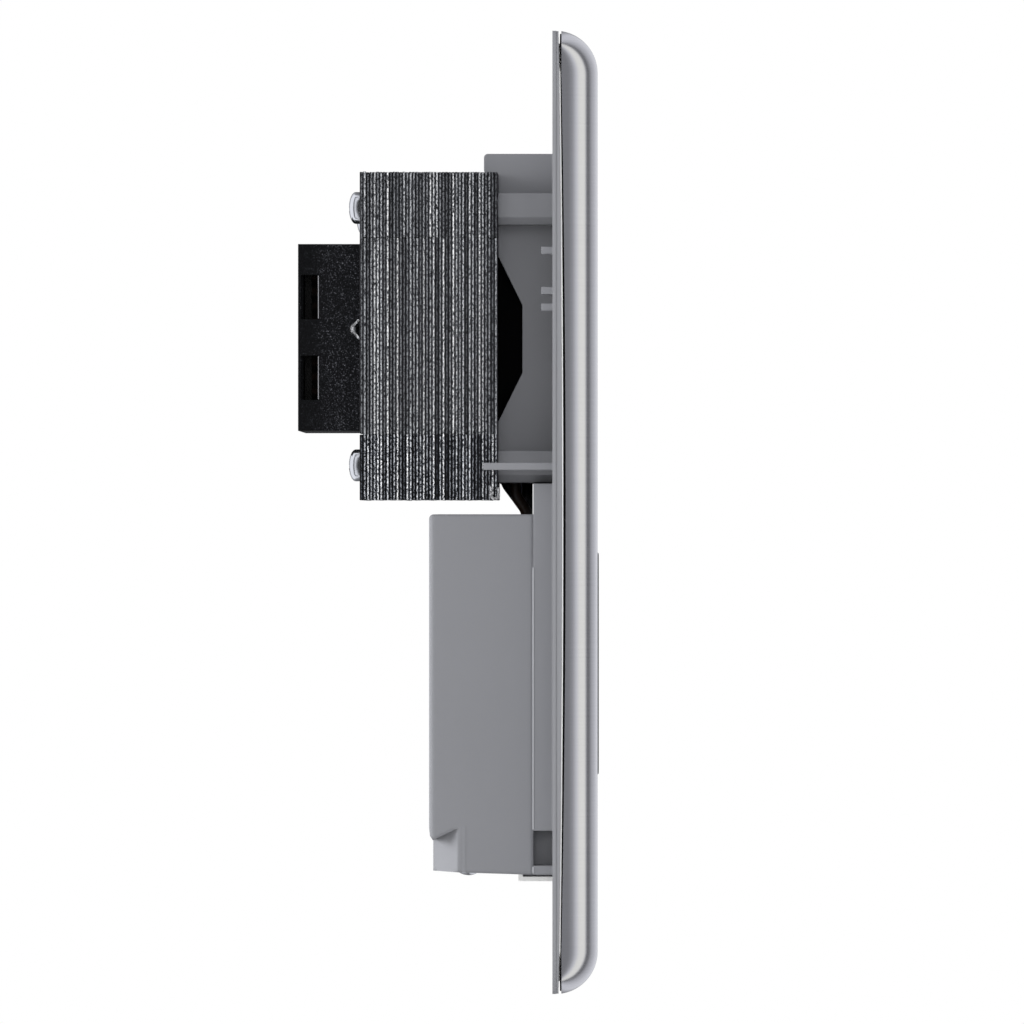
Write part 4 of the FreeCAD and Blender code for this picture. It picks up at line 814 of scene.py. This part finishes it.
# %% Corners
TURN = 3.8
HOUSING_SIDE = -31.0
PROUD = 0.02
CORNER_FRONT, CORNER_BACK = 13.2, 18.2
CORNER_FOOT, CORNER_RISE = -55.2, 8
OVERHANG_SLOPE = ((0, CORNER_BACK, -49.95), (0, 1.85, 3.8))
BOTTOM_SLOPE = ((0, 2.9, CORNER_FOOT), (0, 0.5, -15.9))
corners = bmesh.new()
for side in (-1, 1):
    wall = bmesh.new()
    start = Vector((HOUSING_SIDE - PROUD, CORNER_FRONT, CORNER_FOOT)) * MM
    lower = bmesh.ops.create_vert(wall, co=start)["vert"]
    upper = bmesh.ops.extrude_vert_indiv(wall, verts=lower)["verts"]
    bmesh.ops.translate(wall, verts=upper, vec=(0, 0, CORNER_RISE * MM))
    made = bmesh.ops.extrude_edge_only(wall, edges=wall.edges[:])["geom"]
    moved = verts_in(made)
    bmesh.ops.translate(wall, verts=moved, vec=(0, (CORNER_BACK - TURN - CORNER_FRONT) * MM, 0))
    turned = bmesh.ops.spin(
        wall,
        geom=moved + [e for e in made if isinstance(e, bmesh.types.BMEdge)],
        cent=Vector((HOUSING_SIDE + TURN, CORNER_BACK - TURN, 0)) * MM,
        axis=(0, 0, -1),
        angle=math.radians(90),
        steps=1,
        use_duplicate=False,
    )["geom_last"]
    last = [e for e in turned if isinstance(e, bmesh.types.BMEdge)]
    made = bmesh.ops.extrude_edge_only(wall, edges=last)["geom"]
    bmesh.ops.translate(wall, verts=verts_in(made), vec=(1.2 * MM, 0, 0))
    for point, normal in (OVERHANG_SLOPE, BOTTOM_SLOPE):
        divide(wall, Vector(point) * MM, normal, clear=True)
    folds = [e for e in wall.edges if e.is_manifold and e.calc_face_angle() > 0.3]
    bevel(wall, folds, 0.9, 5)
    bmesh.ops.recalc_face_normals(wall, faces=wall.faces)
    if max(wall.faces, key=lambda face: abs(face.normal.x)).normal.x > 0:
        bmesh.ops.reverse_faces(wall, faces=wall.faces[:])
    bmesh.ops.solidify(wall, geom=wall.faces[:], thickness=0.5 * MM)
    wall.transform(Matrix.Diagonal((side, 1, 1, 1)))
    merge(corners, wall)
    wall.free()
trim = to_object(corners, "housing_corners", corner_finish)
print("housing corner faces:", len(trim.data.polygons))

# %% [markdown]
# ## The joint of the two mouldings
#
# Where the housing meets the side of the chassis, its front edge has a narrow bead. It is painted
# light grey, a painted highlight for the light that the edge catches. The bead starts a little
# below the top and stops at the small window near the foot.
# It is a block with broken edges, because a drawn line would have no glint.

# %% Beads
BEAD_SPANS = ((-48.3, -8.4), (-55.0, -54.0))
beads = bmesh.new()
for side in (-1, 1):
    for low_z, high_z in BEAD_SPANS:
        box(beads, (30.9 * side, 2.84, low_z), (31.06 * side, 3.02, high_z))
bevel(beads, beads.edges[:], 0.03, 2)
# painted highlight: the light grey beads stand in for the glint along the housing's front edge
trim = to_object(beads, "housing_bead_highlights", painted_highlight_bead_finish)
print("bead faces:", len(trim.data.polygons))

# %% [markdown]
# ## Screws
#
# A screw head is the top of a flattened sphere on a short rim, with its shank below. The recess
# is cut into it along planes, and the faces inside its outline are pushed down. A boolean could
# do that too, but this leaves cleaner faces on the dome.


# %% Screw builder
def screw(bm, turned, seat, axis, radius, height, shank, length, arms):
    """A pan head screw. The arms are the half sizes of the recess's rectangles across it."""
    one = bmesh.new()
    brim = height * 0.4
    squat = Matrix.Diagonal((1, 1, (height - brim) / radius, 1))
    dome = Matrix.Translation((0, 0, brim * MM)) @ squat
    bmesh.ops.create_uvsphere(one, u_segments=32, v_segments=16, radius=radius * MM, matrix=dome)
    divide(one, (0, 0, brim * MM), (0, 0, -1), clear=True)
    rim = [e for e in one.edges if e.is_boundary]
    grown = bmesh.ops.extrude_edge_only(one, edges=rim)["geom"]
    bmesh.ops.translate(one, verts=verts_in(grown), vec=(0, 0, -brim * MM))
    bmesh.ops.contextual_create(one, geom=[e for e in one.edges if e.is_boundary])
    for half_x, half_y in arms:
        for side in (-1, 1):
            divide(one, Vector((half_x * side, 0, 0)) * MM, (1, 0, 0))
            divide(one, Vector((0, half_y * side, 0)) * MM, (0, 1, 0))
    inside = []
    for face in one.faces:
        middle = face.calc_center_median() / MM
        on_top = middle.z > brim and face.normal.z > 0.2
        if on_top and any(abs(middle.x) < x and abs(middle.y) < y for x, y in arms):
            inside.append(face)
    sunk = bmesh.ops.extrude_face_region(one, geom=inside)["geom"]
    bmesh.ops.delete(one, geom=[f for f in inside if f.is_valid], context="FACES")
    bmesh.ops.translate(one, verts=verts_in(sunk), vec=(0, 0, -height * 0.5 * MM))
    bmesh.ops.create_cone(
        one,
        cap_ends=True,
        segments=24,
        radius1=shank * MM,
        radius2=shank * MM,
        depth=length * MM,
        matrix=Matrix.Translation((0, 0, -length / 2 * MM)),
    )
    turn = Vector((0, 0, 1)).rotation_difference(Vector(axis)).to_matrix().to_4x4()
    one.transform(Matrix.Translation(Vector(seat) * MM) @ turn @ Matrix.Rotation(turned, 4, "Z"))
    merge(bm, one)
    one.free()


CROSS = ((0.35, 1.3), (1.3, 0.35))
SLOT = ((0.3, 2.2),)
CORE_SCREW = {"radius": 2.45, "height": 1.75, "shank": 1.5, "length": 27.4, "arms": CROSS}
COVER_SCREW = {"radius": 2.3, "height": 1.6, "shank": 1.25, "length": 8.5, "arms": CROSS}
TERMINAL_SCREW = {"radius": 1.95, "height": 2.2, "shank": 1.5, "length": 2.1, "arms": SLOT}
print("screw recesses:", len(CROSS), "and", len(SLOT), "arms")

# %% [markdown]
# Four screws hold the core and two the housing. They are driven from the rear and have a crossed
# recess. The three terminal screws are slotted and are driven from below. Each is turned by its
# own angle, as if driven by hand.

# %% Core, housing and terminal screws
REARWARD, DOWNWARD = (0, 1, 0), (0, 0, -1)
CORE_SEAT, COVER_SEAT, TERMINAL_Y = 29.4, 10.0, 12.9
bm = bmesh.new()
for x in (-24.7, 24.7):
    for z in (7.2, 46.6):
        screw(bm, draw.uniform(0, 1.5), (x, CORE_SEAT, z), REARWARD, **CORE_SCREW)
screws = to_object(bm, "core_screws_detailed", zinc)
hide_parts("core_screws")
bm = bmesh.new()
for x in (-26.5, 26.5):
    screw(bm, draw.uniform(0, 1.5), (x, COVER_SEAT, -23), REARWARD, **COVER_SCREW)
screws = to_object(bm, "cover_screws_detailed", zinc)
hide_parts("cover_screws")
bm = bmesh.new()
terminal_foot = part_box("terminal_screws")[0].z / MM
for x in (-18, 0, 18):
    seat = (x, TERMINAL_Y, terminal_foot + TERMINAL_SCREW["height"])
    screw(bm, draw.uniform(0, 1.5), seat, DOWNWARD, **TERMINAL_SCREW)
screws = to_object(bm, "terminal_screws_detailed", zinc)
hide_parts("terminal_screws")
print("terminal screw faces:", len(screws.data.polygons))

# %% [markdown]
# ## Painted highlights on the lips of the vents
#
# The front edge of each vent in the coil cover catches a thin line of light, which is painted on
# in pale grey as a painted highlight. A paler colour on the cover would need a mask, so each lip
# is a thin bar with broken edges.

# %% Vent lips
VENT_FEET, VENT_HEIGHT = (17.4, 29.8), 6.6
lips = bmesh.new()
for side in (-1, 1):
    for low_z in VENT_FEET:
        box(lips, (19.5 * side, 35.9, low_z), (19.74 * side, 36.03, low_z + VENT_HEIGHT))
bevel(lips, lips.edges[:], 0.02, 2)
# painted highlight: the pale bars stand in for the light caught by the vents' front edges
trim = to_object(lips, "vent_lip_highlights", vent_highlight_finish)
print("vent lip faces:", len(trim.data.polygons))

# %% [markdown]
# ## Leads
#
# Each lead is a circle that is pushed along its straight runs and spun through its bends. The
# bends touch the runs smoothly, as a real lead does when it is dressed by hand. A curve with a
# round profile would do as well, but this sweep also folds strips from a flat section.


# %% Sweeping a section along a route
def loop_edges(section):
    """The edges that join the vertices of a section."""
    return list({e for v in section for e in v.link_edges if all(w in section for w in e.verts)})


def push(bm, section, vec):
    """Extrudes a section straight along a vector, and returns the new section."""
    grown = bmesh.ops.extrude_edge_only(bm, edges=loop_edges(section))["geom"]
    bmesh.ops.translate(bm, verts=verts_in(grown), vec=vec)
    return verts_in(grown)


def sweep(bm, section, corners, widest):
    """Takes a section through corners, with bends of up to the widest radius, and closes it."""
    start = corners[0]
    for before, corner, after in zip(corners, corners[1:], corners[2:]):
        into = (corner - before).normalized()
        out = (after - corner).normalized()
        angle = into.angle(out)
        room = 0.45 * min((corner - before).length, (after - corner).length)
        bend = min(widest, room / math.tan(angle / 2))
        reach = bend * math.tan(angle / 2)
        section = push(bm, section, corner - into * reach - start)
        spun = bmesh.ops.spin(
            bm,
            geom=section + loop_edges(section),
            cent=corner + (out - into).normalized() * (bend / math.cos(angle / 2)),
            axis=into.cross(out).normalized(),
            angle=angle,
            steps=8,
            use_duplicate=False,
        )
        section = verts_in(spun["geom_last"])
        start = corner + out * reach
    section = push(bm, section, corners[-1] - start)
    bmesh.ops.contextual_create(bm, geom=loop_edges(section))


print("sweep ready")

# %% [markdown]
# Five leads run down from the bobbin over the well. Two go on to the terminals at the foot, and
# three end on the tags of the contacts. They follow the CAD leads, so they stay clear of the
# mouldings.

# %% The five leads
LEAD_RADIUS = 0.85
LEAD_TOP, LEAD_DEPTH = 13.5, 3.95
BEND_Z = 0.2
TAG_Z = -6.0
TERMINAL_Z, TERMINAL_ENTRY = -49.6, 8.3


def lead(name, points, finish):
    """A round lead through points in millimetres, with a smooth bend at each corner."""
    corners = [Vector(p) * MM for p in points]
    bm = bmesh.new()
    first = Matrix.Translation(corners[0])
    made = bmesh.ops.create_circle(
        bm, cap_ends=True, segments=20, radius=LEAD_RADIUS * MM, matrix=first
    )
    sweep(bm, list(made["verts"]), corners, 3 * MM)
    piece = to_object(bm, name + "_sleeve", finish)
    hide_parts(name)


def route(x, start, ending):
    """Down from the bobbin, forward over the well, and on to the lead's end."""
    slant = BEND_Z + (start - LEAD_DEPTH) * 4 / 3
    return [(x, start, LEAD_TOP), (x, start, slant), (x, LEAD_DEPTH, BEND_Z), *ending(x)]


def to_terminal(x):
    """Down to the terminals and back into one."""
    return [(x, LEAD_DEPTH, TERMINAL_Z), (x, TERMINAL_ENTRY, TERMINAL_Z)]


def to_tag(x):
    """Straight down onto the tag of a contact."""
    return [(x, LEAD_DEPTH, TAG_Z)]


def straight(x):
    """Straight down from the bobbin to a tag."""
    return [(x, LEAD_DEPTH, LEAD_TOP), (x, LEAD_DEPTH, TAG_Z)]


def middle_x(node):
    """The middle of a piece of the frame, across the unit."""
    low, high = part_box(node)
    return (low.x + high.x) / 2 / MM


lead("lead_line", route(-18, 5.7, to_terminal), brown_sleeve)
lead("lead_neutral", route(18, 5.7, to_terminal), blue_sleeve)
lead("lead_common", route(middle_x("lead_common"), 7.3, to_tag), black_sleeve)
lead("lead_low", straight(middle_x("lead_low")), black_sleeve)
lead("lead_high", straight(middle_x("lead_high")), brown_sleeve)
print("leads made")

# %% [markdown]
# ## Folded tags
#
# Two small tags of tinned strip sit on the core. Each is a flat section that is swept through
# its folds. The rear one carries a bead of solder.


# %% Tags
def tag(bm, low_x, high_x, thickness, points):
    """A strip as wide as the span in X, folded through points given as (Y, Z)."""
    corners = [Vector(((low_x + high_x) / 2, y, z)) * MM for y, z in points]
    first = (corners[1] - corners[0]).normalized()
    tilt = Matrix.Rotation(math.atan2(-first.y, first.z), 4, "X")
    shape = Matrix.Diagonal(((high_x - low_x) / 2 * MM, thickness / 2 * MM, 1, 1))
    place = Matrix.Translation(corners[0]) @ tilt @ shape
    made = bmesh.ops.create_grid(bm, x_segments=1, y_segments=1, size=1, matrix=place)
    sweep(bm, list(made["verts"]), corners, 0.4 * MM)


LUG_FOLDS = ((29.55, 29.45), (30.8, 28.1), (29.55, 26.6))
EARTH_FOLDS = ((9.35, 4.0), (9.35, 2.1), (8.2, 2.1), (8.2, 3.8))
bm = bmesh.new()
tag(bm, -27.6, -20.8, 0.35, LUG_FOLDS)
bead = Matrix.Translation(Vector((-24.9, 30.35, 28.0)) * MM) @ Matrix.Diagonal((2.9, 0.7, 0.95, 1))
bmesh.ops.create_icosphere(bm, subdivisions=3, radius=MM, matrix=bead)
lug = to_object(bm, "solder_lug_folded", speckled)
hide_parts("solder_lug")
bm = bmesh.new()
tag(bm, -30.4, -26.6, 0.4, EARTH_FOLDS)
earth_tag = to_object(bm, "core_earth_tag_folded", speckled)
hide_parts("core_earth_tag")
print("tags:", lug.name, earth_tag.name)

# %% [markdown]
# ## Springs of the shutters
#
# A bowed strip of spring steel pushes each shutter shut. It stands between the shutter's free
# edge and the wall of its chamber, so it has to flatten as the shutter opens. Each strip here is
# a merged copy of its CAD mesh with a mesh of its own, and nothing flattens it as the shutter
# moves.

# %% Springs
for level, side, keep in (("upper", 1, 0.4), ("lower", -1, 0.5)):
    bm = bmesh.new()
    bm.from_mesh(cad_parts[f"spring_{level}"].data)
    strip = to_object(bm, f"spring_{level}_strip", spring)
    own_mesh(strip)
    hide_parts(f"spring_{level}")
print("springs made")

# %% [markdown]
# ## Finishes for the pieces of the frame
#
# Every piece that is still shown as it was built gets the material of its real counterpart. The
# replaced ones get theirs too, so that each solid says what it is made of.

# %% Give each piece its finish
FINISHES = {
    grey: ["chassis"],
    housing_finish: ["rear_cover"],
    black: ["socket_face"],
    sheet_finish: ["insulating_liner"],
    shutter_finish: ["shutter_upper", "shutter_lower"],
    spring: ["spring_upper", "spring_lower"],
    bronze: [
        "contact_upper_left",
        "contact_upper_right",
        "contact_lower_left",
        "contact_lower_right",
        "common_link",
    ],
    brass: ["terminal_line", "terminal_neutral", "terminal_earth"],
    bright: ["earth_strap"],
    nylon: ["bobbin"],
    felt: ["felt_pads"],
    winding: ["primary_winding", "secondary_winding"],
    cover_finish: ["coil_cover_rear", "thermal_cutout"],
    front_cover_finish: ["coil_cover_front"],
    brushed: ["front_plate"],
    core_finish: ["core_laminations"],
}
REPLACED = {
    speckled: ["core_earth_tag", "solder_lug"],
    zinc: ["core_screws", "cover_screws", "terminal_screws"],
    brown_sleeve: ["lead_line", "lead_high"],
    blue_sleeve: ["lead_neutral"],
    black_sleeve: ["lead_common", "lead_low"],
}
finished = set()
for table in (FINISHES, REPLACED):
    for finish, names in table.items():
        for name in names:
            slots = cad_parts[name].data.materials
            slots.clear()
            slots.append(finish)
            finished.add(name)
print("nodes without a finish:", sorted(set(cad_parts) - finished))

# %% [markdown]
# ## The studio
#
# The unit was photographed on a white ground. A pale floor with a fine grain lies well below
# it, and takes a soft shadow. Mirrored rays pass through the floor, so that the steel shows
# only the surround.

# %% Floor
FLOOR_Z = -0.13
GRAINS_PER_METRE = 900.0
floor_mesh = bmesh.new()
low_level = Matrix.Translation((0, 0, FLOOR_Z))
bmesh.ops.create_grid(floor_mesh, x_segments=1, y_segments=1, size=0.6, matrix=low_level)
floor_finish, tree, surface, place = new_material("pale studio floor")
speckle = add(tree, "TexNoise", {"Vector": place, "Scale": GRAINS_PER_METRE, "Detail": 2.0})
pale = add(
    tree,
    "ValToRGB",
    {"Fac": speckle.outputs["Fac"]},
    stops=[(0.3, linear("#f0f0ef")), (0.7, linear("#f3f3f2"))],
)
tree.links.new(pale.outputs["Color"], surface.inputs["Base Color"])
surface.inputs["Roughness"].default_value = 0.8
floor = to_object(floor_mesh, "studio_floor", floor_finish, body=None)
floor.visible_glossy = False
print("floor ready")

# %% [markdown]
# Polished steel shows what stands around it. Here that is a ring of brightness that changes with
# the compass direction, like softboxes with grey flags between them. Lamps could do it, but a
# ramp over the angle puts each band of the plate's sweep where it belongs. Only mirrored rays
# see the ring. The camera sees plain white, and all other rays see an even, weaker white.

# %% Surround
world = bpy.data.worlds.new("studio")
bpy.context.scene.world = world
world.use_nodes = True
tree = world.node_tree
tree.nodes.clear()
direction = add(tree, "SeparateXYZ", {"Vector": add(tree, "TexCoord").outputs["Generated"]})
left = add(tree, "Math", {0: direction.outputs["X"], 1: -1.0}, operation="MULTIPLY")
ahead = add(tree, "Math", {0: direction.outputs["Y"], 1: -1.0}, operation="MULTIPLY")
angle = add(
    tree, "Math", {0: ahead.outputs["Value"], 1: left.outputs["Value"]}, operation="ARCTAN2"
)
compass = add(
    tree,
    "MapRange",
    {"Value": angle.outputs["Value"], "From Min": -math.pi, "From Max": math.pi},
)
# Each stop is a compass direction in degrees and a brightness. 0 is the camera's side, 90 is
# straight ahead of the plate, 180 is the far side and -90 is the wall's side.
COOL = (0.97, 0.98, 1.04)
WARM = (1.0, 0.995, 0.95)
BANDS = [
    (-180, 0.15, COOL),
    (-160, 0.35, COOL),
    (-152, 0.5, COOL),
    (-140, 1.1, COOL),
    (-84, 1.1, COOL),
    (-72, 0.3, COOL),
    (-44, 0.2, COOL),
    (-32, 1.0, COOL),
    (-16, 1.0, COOL),
    (-9, 0.04, COOL),
    (5, 0.04, COOL),
    (12, 0.31, COOL),
    (36, 0.31, COOL),
    (48, 0.45, COOL),
    (60, 0.9, COOL),
    (70, 1.2, WARM),
    (88, 1.22, WARM),
    (93, 0.6, COOL),
    (97, 0.2, COOL),
    (105, 0.24, COOL),
    (118, 0.6, COOL),
    (145, 0.9, COOL),
    (165, 0.9, COOL),
    (180, 0.15, COOL),
]
bands = add(
    tree,
    "ValToRGB",
    {"Fac": compass.outputs["Result"]},
    stops=[
        ((degrees + 180) / 360, [value * share for share in tint] + [1.0])
        for degrees, value, tint in BANDS
    ],
)
paths = add(tree, "LightPath")
mirror = add(tree, "Background", {"Color": bands.outputs["Color"], "Strength": 1.0})
ambient = add(tree, "Background", {"Color": (1, 1, 1, 1), "Strength": 0.85})
white = add(tree, "Background", {"Color": (1, 1, 1, 1), "Strength": 1.0})
lit = add(
    tree,
    "MixShader",
    {
        0: paths.outputs["Is Glossy Ray"],
        1: ambient.outputs["Background"],
        2: mirror.outputs["Background"],
    },
)
seen = add(
    tree,
    "MixShader",
    {0: paths.outputs["Is Camera Ray"], 1: lit.outputs["Shader"], 2: white.outputs["Background"]},
)
add(tree, "OutputWorld", {"Surface": seen.outputs["Shader"]})
print("surround ready")

# %% [markdown]
# Three square lamps stand on the camera's side, in front and behind. They model the forms of the
# mouldings with soft shadows. Mirrored rays don't see them, because the ring has its own bands.


# %% Softboxes
def softbox(name, place, size, power):
    """A square soft lamp that points at the unit."""
    lamp = bpy.data.lights.new(name, "AREA")
    lamp.shape = "SQUARE"
    lamp.size = size
    lamp.energy = power
    made = bpy.data.objects.new(name, lamp)
    bpy.context.scene.collection.objects.link(made)
    made.location = place
    made.rotation_euler = (-Vector(place)).to_track_quat("-Z", "Y").to_euler()
    made.visible_glossy = False
    return made


key = softbox("key softbox", (-1.5, -0.1, 0.35), size=0.9, power=8)
fill = softbox("front softbox", (-0.7, -1.4, 0.4), size=1.0, power=4)
back = softbox("rear softbox", (-0.25, 1.5, 0.3), size=0.9, power=44)
print("lamps:", key.name, fill.name, back.name)

# %% [markdown]
# ## The camera
#
# The camera looks straight along +X, level with the middle of the plate, from a little over a
# metre away. It stands in the wall plane, so it sees the flange edge-on. A sideways shift of the
# lens, given in pixels of the picture, frames the unit as the photograph does.

# %% Camera
PICTURE, SHIFT = 1024, -40.4
CAMERA_AT = (-1.261, 0, 0.00006)
lens = bpy.data.cameras.new("side camera")
lens.sensor_width = 36
lens.lens = 283.9
lens.shift_x = SHIFT / PICTURE
camera = bpy.data.objects.new("side camera", lens)
bpy.context.scene.collection.objects.link(camera)
camera.location = CAMERA_AT
camera.rotation_euler = Vector((1, 0, 0)).to_track_quat("-Z", "Y").to_euler()
bpy.context.scene.camera = camera
bpy.context.scene.view_settings.view_transform = "Standard"
